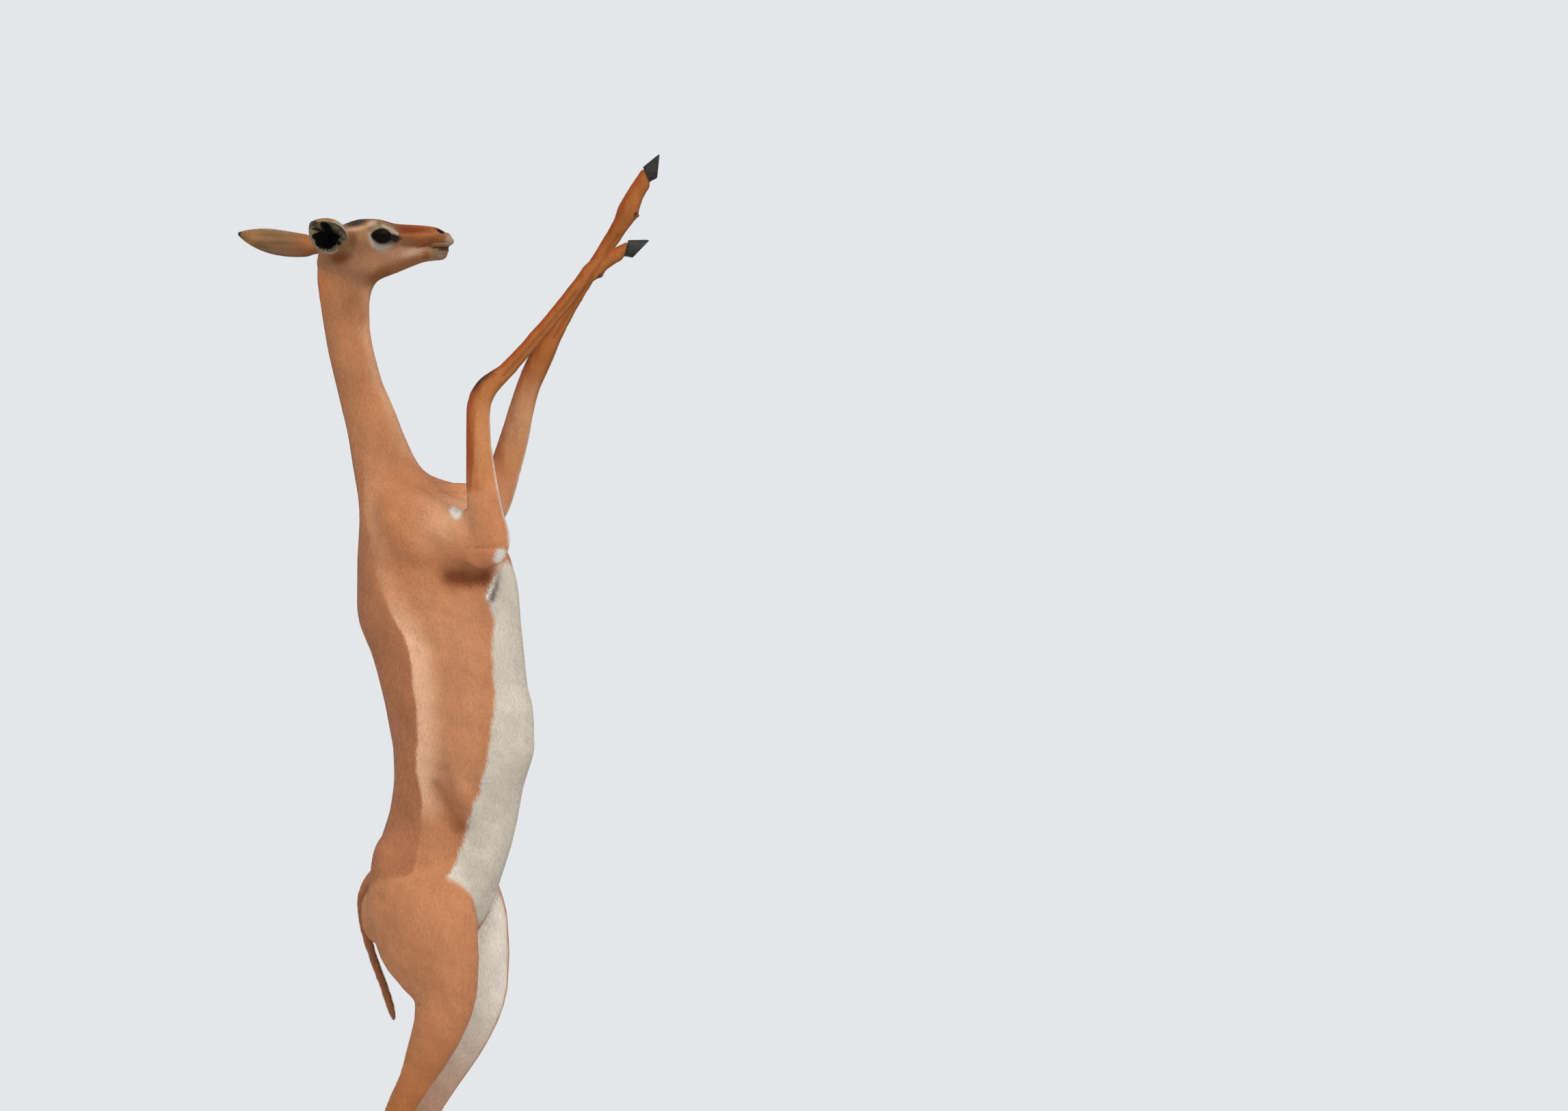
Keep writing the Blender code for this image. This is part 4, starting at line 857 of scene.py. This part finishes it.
def markings(spots, normals, region, shares):
    """The coat's colour at each spot, in linear light: the skin and every tuft take it from here."""
    colours = trunk_colours(spots, normals)
    colours = fold_colours(colours, spots)
    leg_share, head_share = shares.T
    colours = tint(colours, leg_colours(spots, normals, region), ramp(leg_share, 0.25, 0.75))
    _, left = trunk_axes(spots)
    for colour, (x, z), (rx, rz), soft in BODY_PATCHES:
        away = np.hypot((seen_from_side(spots) - x) / rx, (spots[:, 2] - z) / rz) + 0.06 * ripple(spots, 250, 5)
        shown = 1 - ramp(away, 1 - soft, 1 + soft)
        colours = tint(colours, colour, shown * ramp(np.abs(left), 0.035, 0.050))
    for colour, (x, z), (rx, rz), strength in NECK_PATCHES:
        away = ((spots[:, 0] - x) / rx) ** 2 + ((spots[:, 2] - z) / rz) ** 2
        colours = tint(colours, colour, np.exp(-away) * strength)
    colours = tint(colours, head_colours(spots), ramp(head_share, 0.12, 0.85))
    shade = 1 + 0.035 * ripple(spots, 45, 1) + 0.030 * ripple(spots, 160, 2)
    return np.clip(colours * shade[:, None], 0.0, 0.92)


# Materials

def add_node(tree, kind, **values):
    node = tree.nodes.new(kind)
    for key, value in values.items():
        setattr(node, key, value)
    return node


def new_material(name, roughness):
    made = bpy.data.materials.new(name)
    made.use_nodes = True
    shader = made.node_tree.nodes["Principled BSDF"]
    shader.inputs["Roughness"].default_value = roughness
    return made, made.node_tree, shader


def fur_material(name, bump):
    """Colour from the painted markings with a fine streak of lighter and darker hair."""
    made, tree, shader = new_material(name, 0.72)
    shader.inputs["Sheen Weight"].default_value = 0.04
    shader.inputs["Sheen Roughness"].default_value = 0.45
    shader.inputs["Specular IOR Level"].default_value = 0.12
    colour = add_node(tree, "ShaderNodeAttribute", attribute_name="markings")
    places = add_node(tree, "ShaderNodeTexCoord")
    stretch = add_node(tree, "ShaderNodeMapping")
    stretch.inputs["Scale"].default_value = (1.0, 1.0, 0.22)
    hair = add_node(tree, "ShaderNodeTexNoise")
    hair.inputs["Scale"].default_value = 520
    hair.inputs["Detail"].default_value = 3
    gain = add_node(tree, "ShaderNodeMapRange")
    gain.inputs["From Min"].default_value = 0.3
    gain.inputs["From Max"].default_value = 0.7
    gain.inputs["To Min"].default_value = 0.91
    gain.inputs["To Max"].default_value = 1.08
    multiply = add_node(tree, "ShaderNodeVectorMath", operation="SCALE")
    link = tree.links.new
    link(places.outputs["Object"], stretch.inputs["Vector"])
    link(stretch.outputs["Vector"], hair.inputs["Vector"])
    link(hair.outputs["Fac"], gain.inputs["Value"])
    link(colour.outputs["Color"], multiply.inputs[0])
    link(gain.outputs["Result"], multiply.inputs["Scale"])
    link(multiply.outputs["Vector"], shader.inputs["Base Color"])
    if bump:
        relief = add_node(tree, "ShaderNodeBump")
        relief.inputs["Strength"].default_value = bump
        relief.inputs["Distance"].default_value = 0.0006
        link(hair.outputs["Fac"], relief.inputs["Height"])
        link(relief.outputs["Normal"], shader.inputs["Normal"])
    return made


def paint(mesh, colours):
    layer = mesh.color_attributes.new("markings", "FLOAT_COLOR", "POINT")
    values = np.ones((len(colours), 4))
    values[:, :3] = colours
    layer.data.foreach_set("color", values.ravel())


# Coat

# Each coat piece: its regions, tufts for each square metre, length, width, lift of the tip off the skin
HALF_TRUNK = (0.985, 1.235)
COATS = (
    ("coat_head", ("head",), 520000, 0.0038, 0.00055, 0.00018),
    ("coat_neck", ("neck",), 230000, 0.0070, 0.00085, 0.00020),
    ("coat_trunk_low", ("torso",), 165000, 0.0080, 0.00100, 0.00024),
    ("coat_trunk_middle", ("torso",), 165000, 0.0080, 0.00100, 0.00024),
    ("coat_trunk_high", ("torso",), 155000, 0.0080, 0.00100, 0.00024),
    ("coat_thigh_right", ("thigh_right",), 150000, 0.0080, 0.00100, 0.00024),
    ("coat_thigh_left", ("thigh_left",), 150000, 0.0080, 0.00100, 0.00024),
    ("coat_hind_right", ("gaskin_right", "hind_cannon_right", "hind_pastern_right"),
     180000, 0.0058, 0.00085, 0.00020),
    ("coat_hind_left", ("gaskin_left", "hind_cannon_left", "hind_pastern_left"),
     180000, 0.0058, 0.00085, 0.00020),
    ("coat_fore_right", ("forearm_right", "fore_cannon_right", "fore_pastern_right"),
     230000, 0.0058, 0.00080, 0.00020),
    ("coat_fore_left", ("forearm_left", "fore_cannon_left", "fore_pastern_left"),
     230000, 0.0058, 0.00080, 0.00020),
    ("coat_tail", ("tail",), 180000, 0.0150, 0.0012, 0.0020),
)
PATCH = 0.0015              # half of a tuft's patch on the bake map
SHADE_JITTER = 0.045        # spread of lightness from tuft to tuft
NORMAL_BLEND = 0.93         # share of the skin's normal in a tuft's shading
TUFT_FACES = np.array(((0, 1, 3), (0, 3, 2), (0, 2, 1), (4, 3, 1), (4, 2, 3), (4, 1, 2)))
TUFT_PATCH = np.array(((0.0, -1.0), (-0.8, 0.0), (0.8, 0.0), (0.0, 0.2), (0.0, 1.0))) * PATCH


def scatter(spots, triangles, chosen, density, random):
    """Random points on the chosen triangles: their triangle and weights of its corners."""
    corners = spots[triangles[chosen]]
    area = np.linalg.norm(np.cross(corners[:, 1] - corners[:, 0], corners[:, 2] - corners[:, 0]), axis=1) / 2
    count = int(area.sum() * density)
    pick = random.choice(len(chosen), count, p=area / area.sum())
    u, v = random.random((2, count))
    flip = u + v > 1
    u = np.where(flip, 1 - u, u)
    v = np.where(flip, 1 - v, v)
    return chosen[pick], np.stack([1 - u - v, u, v], axis=1)


def blend_corners(values, triangles, weights):
    return np.einsum("nk,nkc->nc", weights, values[triangles])


def unwrap(spots, bins=24):
    """Places on a bake map: the angle about the piece's own centre line, and the way along it."""
    middle = spots.mean(axis=0)
    _, _, axes = np.linalg.svd(spots[:: max(1, len(spots) // 4000)] - middle, full_matrices=False)
    along = (spots - middle) @ axes[0]
    low, high = along.min(), along.max()
    slot = np.clip(((along - low) / (high - low) * bins).astype(int), 0, bins - 1)
    count = np.maximum(np.bincount(slot, minlength=bins), 1)
    stations = (np.arange(bins) + 0.5) / bins * (high - low) + low
    centre = np.stack([
        np.interp(along, stations, np.bincount(slot, spots[:, i], bins) / count) for i in range(3)
    ], axis=1)
    away = spots - centre
    angle = np.arctan2(away @ axes[1], away @ axes[2]) / (2 * math.pi) + 0.5
    return np.stack([0.01 + 0.98 * angle, 0.01 + 0.98 * (along - low) / (high - low)], axis=1)


def stand_off(points, heights, tree):
    """Put each point at its height over the skin."""
    out = np.empty_like(points)
    for i, point in enumerate(points):
        spot, normal, _, _ = tree.find_nearest(Vector(point))
        out[i] = spot + normal * heights[i]
    return out


def tufts(name, roots, normals, ways, length, width, lift, colours, tree, random):
    """One mesh of leaf-shaped solid tufts lying along ways, rooted in the skin."""
    count = len(roots)
    across = np.cross(normals, ways)
    half = (width / 2)[:, None]
    middle = roots + ways * (length * 0.38)[:, None]
    tip = roots + ways * length[:, None]
    if tree is not None:
        middle = stand_off(middle, lift * 0.30, tree)
        tip = stand_off(tip, lift, tree)
    else:
        middle = middle + normals * (lift * 0.45)[:, None]
        tip = tip + normals * lift[:, None]
    base = roots - normals * 0.0005
    top = middle + normals * (width * 0.11)[:, None]
    spots = np.stack([base, middle - across * half, middle + across * half, top, tip], axis=1)
    triangles = (np.arange(count)[:, None, None] * 5 + TUFT_FACES[None]).reshape(-1, 3)
    mesh = mesh_from_triangles(name, spots.reshape(-1, 3), triangles)
    fade = np.array((0.93, 0.98, 0.98, 1.0, 1.04))
    shade = 1 + random.normal(0, SHADE_JITTER, count)
    painted = colours[:, None, :] * shade[:, None, None] * fade[None, :, None]
    paint(mesh, np.clip(painted.reshape(-1, 3), 0, 0.95))
    places = unwrap(roots)
    layer = mesh.uv_layers.new(name="OFBake")
    corner_places = (places[:, None, :] + TUFT_PATCH[None]).reshape(-1, 2)
    layer.data.foreach_set("uv", corner_places[triangles.ravel()].ravel())
    mesh.shade_smooth()
    own = mesh_normals(mesh).reshape(count, 5, 3)
    blended = own * (1 - NORMAL_BLEND) + normals[:, None, :] * NORMAL_BLEND
    blended /= np.linalg.norm(blended, axis=2)[..., None]
    mesh.normals_split_custom_set_from_vertices(blended.reshape(-1, 3).tolist())
    return new_object(name, mesh)


def coat_mask(name, region, names, centres):
    mask = np.isin(region, [REGION[part] for part in names])
    low, high = HALF_TRUNK
    height = centres[:, 2]
    if name.endswith("_low"):
        mask &= height < low
    elif name.endswith("_middle"):
        mask &= (height >= low) & (height < high)
    elif name.endswith("_high"):
        mask &= height >= high
    return mask


def bare_skin(spots):
    """Where no tufts grow: inside the lids, the nostrils and the mouth, and on the dewclaws."""
    bare = dewclaw_share(spots) > 0.3
    for sign in SIDES:
        measure, away, _ = almond_measure(spots, sign)
        bare |= (measure < 1.20) & (np.linalg.norm(away, axis=1) < 0.030) & (away[:, 1] * sign > 0)
    bare |= nostril_share(spots) > 0.2
    bare |= face_distance(spots, MOUTH_LINE) < 0.0016
    bare |= (face_distance(spots, MOUTH_LINE) < 0.0034) & (spots[:, 0] > 0.004)
    return bare


def grow_coat(skin, region, shares, ways):
    mesh = skin.data
    spots = mesh_spots(mesh)
    normals = mesh_normals(mesh)
    triangles = mesh_triangles(mesh)
    centres = spots[triangles].mean(axis=1)
    face_region = region[triangles[:, 0]]
    tree = BVHTree.FromPolygons(spots.tolist(), triangles.tolist())
    thin = 1
    pieces = []
    for seed, (name, names, density, length, width, lift) in enumerate(COATS):
        random = np.random.default_rng(100 + seed)
        chosen = np.nonzero(coat_mask(name, face_region, names, centres))[0]
        picked, weights = scatter(spots, triangles, chosen, density / thin, random)
        corners = triangles[picked]
        roots = blend_corners(spots, corners, weights)
        keep = ~bare_skin(roots)
        corners, weights, roots = corners[keep], weights[keep], roots[keep]
        root_normals = blend_corners(normals, corners, weights)
        root_normals /= np.linalg.norm(root_normals, axis=1)[:, None]
        lie = blend_corners(ways, corners, weights) + random.normal(0, 0.11, roots.shape)
        lie = flatten(lie, root_normals)
        size = random.uniform(0.75, 1.25, len(roots)) * tuft_size(roots, name)
        share = blend_corners(shares, corners, weights)
        colours = markings(roots, root_normals, region[corners[:, 0]], share)
        pieces.append(tufts(
            name, roots, root_normals, lie, length * size, width * random.uniform(0.8, 1.2, len(roots)),
            lift * size * random.uniform(0.4, 1.3, len(roots)), colours, tree, random))
    return pieces


def tuft_size(roots, name):
    """Tufts shrink towards the nose and the eyes, and grow longer on the knees."""
    if name != "coat_head":
        return 1 + 1.1 * near_knee_tufts(roots)
    size = 1 - 0.55 * ramp(roots[:, 0], -0.09, 0.0)
    for sign in SIDES:
        measure, away, _ = almond_measure(roots, sign)
        near = (np.linalg.norm(away, axis=1) < 0.034) & (away[:, 1] * sign > 0)
        size = np.where(near, np.minimum(size, 0.35 + 0.5 * ramp(measure, 1.1, 2.0)), size)
    return size


# Ears

EAR_SHRINK = 0.0004
EAR_BACK = linear(122, 90, 60)
EAR_EDGE = linear(170, 152, 128)
EAR_FOOT = linear(146, 92, 54)
EAR_GOLD = linear(142, 98, 58)
EAR_TIP = linear(26, 20, 16)
EAR_RIM = linear(186, 166, 136)
# dark skin of the ear's cup, with painted shade of its depth
EAR_SKIN_AND_SHADE = linear(12, 9, 8)
EAR_HAIR = linear(214, 194, 162)

# Bunches of long hair in the cup of the right ear seen from the side: root, tip, spread of the roots
EAR_BUNCHES = (
    ((-0.2160, 1.8850), (-0.1960, 1.8715), 0.0090),
    ((-0.2265, 1.8674), (-0.1995, 1.8668), 0.0050),
    ((-0.2230, 1.8501), (-0.2045, 1.8590), 0.0050),
    ((-0.1960, 1.8357), (-0.1950, 1.8425), 0.0170),
    ((-0.1724, 1.8741), (-0.1840, 1.8620), 0.0200),
)
EAR_HAIR_SHORTEST = 0.0022
EAR_HAIR_BEGINS = 0.78      # share of the way to the rim, or to the tip, where the long hair starts


def make_ear(sign):
    word = "right" if sign < 0 else "left"
    work = solid("ear_" + word, -EAR_SHRINK)
    thing = object_from("ear_skin_" + word, work)
    smooth = thing.modifiers.new("round", "SUBSURF")
    smooth.levels = 2
    smooth.render_levels = 2
    bake_modifiers(thing)
    thing.data.shade_smooth()
    return thing


def ear_axes(sign):
    """Base of an ear and its own axes: along it, across it and out of the cup. Both ears use the same."""
    base, way = ear_base(sign)
    opening = Vector(EARS[sign][2])
    opening = (opening - way * opening.dot(way)).normalized()
    wide = way.cross(opening) * -sign
    return np.array(base), np.array((way, wide, opening))


def ear_sections(sign, spots, normals, bins=18):
    """For each spot of an ear: share along it, whether it is inside the cup, and how near the rim."""
    base, (way, _, opening) = ear_axes(sign)
    along = (spots - base) @ way
    low, high = along.min(), along.max()
    share = (along - low) / (high - low)
    slot = np.clip((share * bins).astype(int), 0, bins - 1)
    centre = np.empty_like(spots)
    for index in range(bins):
        here = slot == index
        if here.any():
            low_corner = spots[here].min(axis=0)
            high_corner = spots[here].max(axis=0)
            centre[here] = (low_corner + high_corner) / 2
    away = spots - centre
    inside = np.sum(normals * away, axis=1) < 0
    openness = away @ opening
    reach = np.zeros(len(spots))
    for index in range(bins):
        here = slot == index
        if here.any():
            top = openness[here].max()
            bottom = openness[here].min()
            reach[here] = (openness[here] - bottom) / max(top - bottom, 1e-6)
    return share, inside, reach, centre


def paint_ear(thing, sign):
    spots = mesh_spots(thing.data)
    normals = mesh_normals(thing.data)
    share, inside, reach, _ = ear_sections(sign, spots, normals)
    outer = np.tile(EAR_BACK, (len(spots), 1))
    outer = tint(outer, EAR_EDGE, ramp(reach, 0.45, 0.85) * (0.8 if sign < 0 else 0.3))
    outer = tint(outer, EAR_FOOT, 1 - ramp(share, 0.05, 0.42))
    outer = tint(outer, EAR_GOLD, ramp(share, 0.55, 0.80) * 0.7)
    outer = tint(outer, EAR_TIP, ramp(-normals[:, 2], 0.86, 0.98) * 0.7)
    outer = tint(outer, EAR_TIP, ramp(share, 0.93, 0.985))
    outer = tint(outer, EAR_TIP, ramp(reach, 0.90, 0.98) * ramp(share, 0.45, 0.70) * 0.85)
    inner = np.tile(EAR_SKIN_AND_SHADE, (len(spots), 1))
    inner = tint(inner, EAR_RIM, ramp(share, 0.76, 0.86) * 0.8)
    inner = tint(inner, EAR_RIM, ramp(reach, 0.74, 0.92) * 0.9)
    inner = tint(inner, EAR_TIP, ramp(share, 0.95, 0.99))
    colours = np.where(inside[:, None], inner, outer)
    way = np.array(ear_base(sign)[1])
    drawn_out = spots - way * (spots @ way)[:, None] * 0.88
    colours *= (1 + 0.05 * ripple(spots, 150, 21) + 0.09 * ripple(drawn_out, 520, 22))[:, None]
    paint(thing.data, np.clip(colours, 0, 0.9))
    return share, inside, reach, colours


def ear_coat(thing, sign, share_inside_reach_colours):
    """Short hair on the back of the ear, a pale fringe along its rim and long white hair in the cup."""
    share, inside, reach, colours = share_inside_reach_colours
    word = "right" if sign < 0 else "left"
    mesh = thing.data
    spots = mesh_spots(mesh)
    normals = mesh_normals(mesh)
    triangles = mesh_triangles(mesh)
    base, axes = ear_axes(sign)
    right_base, right_axes = ear_axes(-1)
    way = axes[0]
    random = np.random.default_rng(300 + (sign > 0))
    _, _, _, centre = ear_sections(sign, spots, normals)
    tree = BVHTree.FromPolygons(spots.tolist(), triangles.tolist())
    thin = 1
    outer = np.nonzero(~inside[triangles].any(axis=1))[0]
    picked, weights = scatter(spots, triangles, outer, 420000 / thin, random)
    corners = triangles[picked]
    roots = blend_corners(spots, corners, weights)
    root_normals = blend_corners(normals, corners, weights)
    root_normals /= np.linalg.norm(root_normals, axis=1)[:, None]
    lie = flatten(way + random.normal(0, 0.15, roots.shape), root_normals)
    size = random.uniform(0.7, 1.2, len(roots))
    back = tufts("coat_ear_" + word, roots, root_normals, lie, 0.0038 * size,
                 0.0006 * np.ones(len(roots)), 0.0002 * size,
                 blend_corners(colours, corners, weights), tree, random)
    near_rim = np.maximum(reach[triangles].mean(axis=1), share[triangles].mean(axis=1))
    rim = np.nonzero((near_rim > EAR_HAIR_BEGINS) & inside[triangles].all(axis=1)
                     & (share[triangles].mean(axis=1) < 0.93))[0]
    picked, weights = scatter(spots, triangles, rim, 900000 / thin, random)
    corners = triangles[picked]
    roots = blend_corners(spots, corners, weights)
    root_normals = blend_corners(normals, corners, weights)
    root_normals /= np.linalg.norm(root_normals, axis=1)[:, None]
    inward = blend_corners(centre, corners, weights) - roots
    inward -= way * (inward @ way)[:, None]
    inward /= np.maximum(np.linalg.norm(inward, axis=1), 1e-6)[:, None]
    seen = right_base + (roots - base) @ axes.T @ right_axes
    length = np.full(len(roots), EAR_HAIR_SHORTEST)
    lie = inward + way * 0.12 + random.normal(0, 0.10, roots.shape)
    for start, end, radius in EAR_BUNCHES:
        run = np.array((end[0] - start[0], 0.0, end[1] - start[1]))
        reach_of_run = np.linalg.norm(run)
        run_here = run @ right_axes.T @ axes / reach_of_run
        near = np.exp(-np.sum((seen[:, (0, 2)] - start) ** 2, axis=1) / radius ** 2)
        length = np.maximum(length, reach_of_run * near)
        lie += run_here * near[:, None] * 2
    lie = lie / np.linalg.norm(lie, axis=1)[:, None]
    length *= random.uniform(0.45, 1.1, len(roots))
    hair_colours = np.tile(EAR_HAIR, (len(roots), 1)) * random.uniform(0.65, 1.1, (len(roots), 1))
    hair = tufts("ear_hair_" + word, roots, root_normals, lie, length,
                 0.0007 * np.ones(len(roots)), 0.05 * length, hair_colours, None, random)
    return [back, hair]


# Eyes and hooves

def eye_material():
    made, tree, shader = new_material("eye_wet", 0.12)
    shader.inputs["Specular IOR Level"].default_value = 0.035
    layer = add_node(tree, "ShaderNodeAttribute", attribute_name="markings")
    tree.links.new(layer.outputs["Color"], shader.inputs["Base Color"])
    return made


def make_eye(sign, material):
    """A finer eyeball with a low cornea, a dark iris and a level, slot-shaped pupil."""
    word = "right" if sign < 0 else "left"
    work = bmesh.new()
    bmesh.ops.create_icosphere(work, subdivisions=5, radius=EYE_RADIUS)
    thing = object_from("eyeball_" + word, work)
    spots = mesh_spots(thing.data)
    ahead = spots @ np.array((0.12, sign * 0.99, 0.05)) / EYE_RADIUS
    off_x = (spots[:, 0] - 0.12 * EYE_RADIUS) / 0.0062
    off_z = (spots[:, 2] - 0.05 * EYE_RADIUS) / 0.0030
    pupil = (1 - ramp(np.sqrt(off_x ** 2 + off_z ** 2), 0.85, 1.1)) * (ahead > 0)
    iris = ramp(ahead, 0.55, 0.66)
    colours = np.tile(linear(12, 9, 8), (len(spots), 1))
    streak = 1 + 0.25 * ripple(spots, 1500, 31)
    colours = tint(colours, linear(15, 10, 8) * streak[:, None], iris)
    colours = tint(colours, linear(6, 5, 5), pupil)
    paint(thing.data, np.clip(colours, 0, 1))
    bulge = 1 + 0.030 * ramp(ahead, 0.50, 1.0)
    centre = np.array((EYE_X, HEAD_Y + sign * EYE_OUT, EYE_Z))
    set_spots(thing.data, spots * bulge[:, None] + centre)
    thing.data.shade_smooth()
    thing.data.materials.append(material)
    return thing


def make_lashes(sign, material):
    """Dark lashes along the upper lid."""
    random = np.random.default_rng(400 + (sign > 0))
    count = 60
    turn = np.linspace(math.radians(20), math.radians(165), count) + random.normal(0, 0.02, count)
    x = LID_OPENING[0] / 2 * 1.04 * np.cos(turn)
    z = LID_OPENING[1] / 2 * 1.08 * np.sin(turn)
    turned_x = x * math.cos(LID_TILT) - z * math.sin(LID_TILT)
    turned_z = x * math.sin(LID_TILT) + z * math.cos(LID_TILT)
    out = np.sqrt(np.maximum((EYE_RADIUS + 0.0022) ** 2 - turned_x ** 2 - turned_z ** 2, 0))
    away = np.stack([turned_x, sign * out, turned_z], axis=1)
    roots = away + np.array((EYE_X, HEAD_Y + sign * EYE_OUT, EYE_Z))
    normals = away / np.linalg.norm(away, axis=1)[:, None]
    ways = normals * 0.90 + np.array((0.10, sign * 0.10, 0.20)) + random.normal(0, 0.08, roots.shape)
    ways /= np.linalg.norm(ways, axis=1)[:, None]
    size = random.uniform(0.7, 1.15, count)
    lash = tufts("lashes_" + ("right" if sign < 0 else "left"), roots, np.cross(ways, np.cross(normals, ways)),
                 ways, 0.0050 * size, 0.0006 * np.ones(count), -0.0012 * size,
                 np.tile(BLACK, (count, 1)), None, random)
    lash.data.materials.append(material)
    return lash


def hoof_material():
    made, tree, shader = new_material("horn", 0.5)
    shader.inputs["Specular IOR Level"].default_value = 0.25
    places = add_node(tree, "ShaderNodeTexCoord")
    grain = add_node(tree, "ShaderNodeTexNoise")
    grain.inputs["Scale"].default_value = 160
    grain.inputs["Detail"].default_value = 5
    ramp = add_node(tree, "ShaderNodeValToRGB")
    ramp.color_ramp.elements[0].position = 0.35
    ramp.color_ramp.elements[0].color = (*linear(20, 18, 16), 1)
    ramp.color_ramp.elements[1].position = 0.75
    ramp.color_ramp.elements[1].color = (*linear(50, 45, 39), 1)
    rings = add_node(tree, "ShaderNodeTexWave", wave_type="BANDS", bands_direction="Z")
    rings.inputs["Scale"].default_value = 95
    rings.inputs["Distortion"].default_value = 2.5
    relief = add_node(tree, "ShaderNodeBump")
    relief.inputs["Strength"].default_value = 0.2
    relief.inputs["Distance"].default_value = 0.0004
    link = tree.links.new
    link(places.outputs["Object"], grain.inputs["Vector"])
    link(places.outputs["Object"], rings.inputs["Vector"])
    link(grain.outputs["Fac"], ramp.inputs["Fac"])
    link(ramp.outputs["Color"], shader.inputs["Base Color"])
    link(rings.outputs["Fac"], relief.inputs["Height"])
    link(relief.outputs["Normal"], shader.inputs["Normal"])
    return made


def make_hoof(name, material):
    """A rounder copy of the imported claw, with its sole edge kept sharp."""
    work = solid(name, 0.0)
    crease = work.edges.layers.float.new("crease_edge")
    for edge in work.edges:
        if len(edge.link_faces) == 2 and edge.calc_face_angle() > math.radians(50):
            edge[crease] = 0.35
    thing = object_from(name.replace("hoof", "horn"), work)
    smooth = thing.modifiers.new("round", "SUBSURF")
    smooth.levels = 2
    smooth.render_levels = 2
    bake_modifiers(thing)
    thing.data.shade_smooth()
    thing.data.materials.append(material)
    return thing


# Stage

def make_floor():
    work = bmesh.new()
    bmesh.ops.create_grid(work, x_segments=1, y_segments=1, size=900)
    floor = object_from("floor", work)
    made, tree, shader = new_material("floor", 0.9)
    shader.inputs["Base Color"].default_value = (0.610, 0.615, 0.620, 1)
    shader.inputs["Specular IOR Level"].default_value = 0.1
    floor.data.materials.append(made)


def make_sun(name, towards, energy, spread, colour=(1, 1, 1)):
    light = bpy.data.lights.new(name, "SUN")
    light.energy = energy
    light.angle = math.radians(spread)
    light.color = colour
    thing = bpy.data.objects.new(name, light)
    thing.rotation_euler = Vector(towards).to_track_quat("Z", "Y").to_euler()
    bpy.context.scene.collection.objects.link(thing)


def make_lights():
    make_sun("key", (0.55, -0.85, 1.05), 2.2, 55, (1.0, 0.985, 0.96))
    make_sun("fill", (-0.8, -0.6, 0.5), 0.75, 90, (0.95, 0.98, 1.0))
    world = bpy.data.worlds.new("studio")
    bpy.context.scene.world = world
    world.use_nodes = True
    background = world.node_tree.nodes["Background"]
    background.inputs["Color"].default_value = (0.93, 0.96, 1.0, 1)
    background.inputs["Strength"].default_value = 0.72


# Camera: the photo's frame is 2293 pixels of 1.15 mm wide, about a point 1146.5, 812 pixels in
PIXEL = 0.00115
FRAME_WIDTH = 2293 * PIXEL
AIM = Vector((0.571, 0.0, 1.3237))
LENS = 400
SENSOR = 36
ELEVATION = math.radians(2.1)


def make_camera():
    data = bpy.data.cameras.new("camera")
    data.lens = LENS
    data.sensor_width = SENSOR
    data.clip_end = 2000
    camera = bpy.data.objects.new("camera", data)
    bpy.context.scene.collection.objects.link(camera)
    distance = FRAME_WIDTH * LENS / SENSOR
    back = Vector((0, -math.cos(ELEVATION), math.sin(ELEVATION)))
    camera.location = AIM + SHIFT + back * distance
    camera.rotation_euler = back.to_track_quat("Z", "Y").to_euler()
    bpy.context.scene.camera = camera


def place(thing, replaced=()):
    thing.data.transform(Matrix.Translation(SHIFT))
    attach(thing, "root")
    if replaced:
        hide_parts(*replaced)


def main():
    skin = make_skin()
    sculpt(skin.data)
    spots = mesh_spots(skin.data)
    normals = mesh_normals(skin.data)
    region = nearest_regions(spots)
    edges = mesh_edges(skin.data)
    ways = lie_of_coat(spots, region)
    for _ in range(30):
        ways = neighbour_mean(ways, edges)
    ways = flatten(ways, normals)
    shares = np.stack([
        spread(np.isin(region, LEGS).astype(float), edges, SPREAD_STEPS),
        spread((region == REGION["head"]).astype(float), edges, HEAD_SPREAD_STEPS),
    ], axis=1)
    paint(skin.data, markings(spots, normals, region, shares))
    skin.data.shade_smooth()
    skin.data.materials.append(fur_material("skin_fur", 0.35))
    tuft_material = fur_material("tuft_fur", 0.0)
    pieces = grow_coat(skin, region, shares, ways)
    place(skin, FLESH)
    for sign, word in ((-1, "right"), (1, "left")):
        ear = make_ear(sign)
        marks = paint_ear(ear, sign)
        ear.data.materials.append(fur_material("ear_fur_" + word, 0.3))
        pieces += ear_coat(ear, sign, marks)
        place(ear, ["ear_" + word])
    for piece in pieces:
        piece.data.materials.append(tuft_material)
        place(piece)
    wet = eye_material()
    for sign, word in ((-1, "right"), (1, "left")):
        place(make_eye(sign, wet), ["eye_" + word])
        place(make_lashes(sign, tuft_material))
    horn = hoof_material()
    for name in sorted(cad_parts):
        if "_hoof_" in name:
            place(make_hoof(name, horn), [name])
    make_floor()
    make_lights()
    make_camera()
    bpy.context.scene.view_settings.view_transform = "Standard"
    print("skin", len(skin.data.polygons), "coat", sum(len(p.data.polygons) for p in pieces))


main()
bpy.context.view_layer.update()
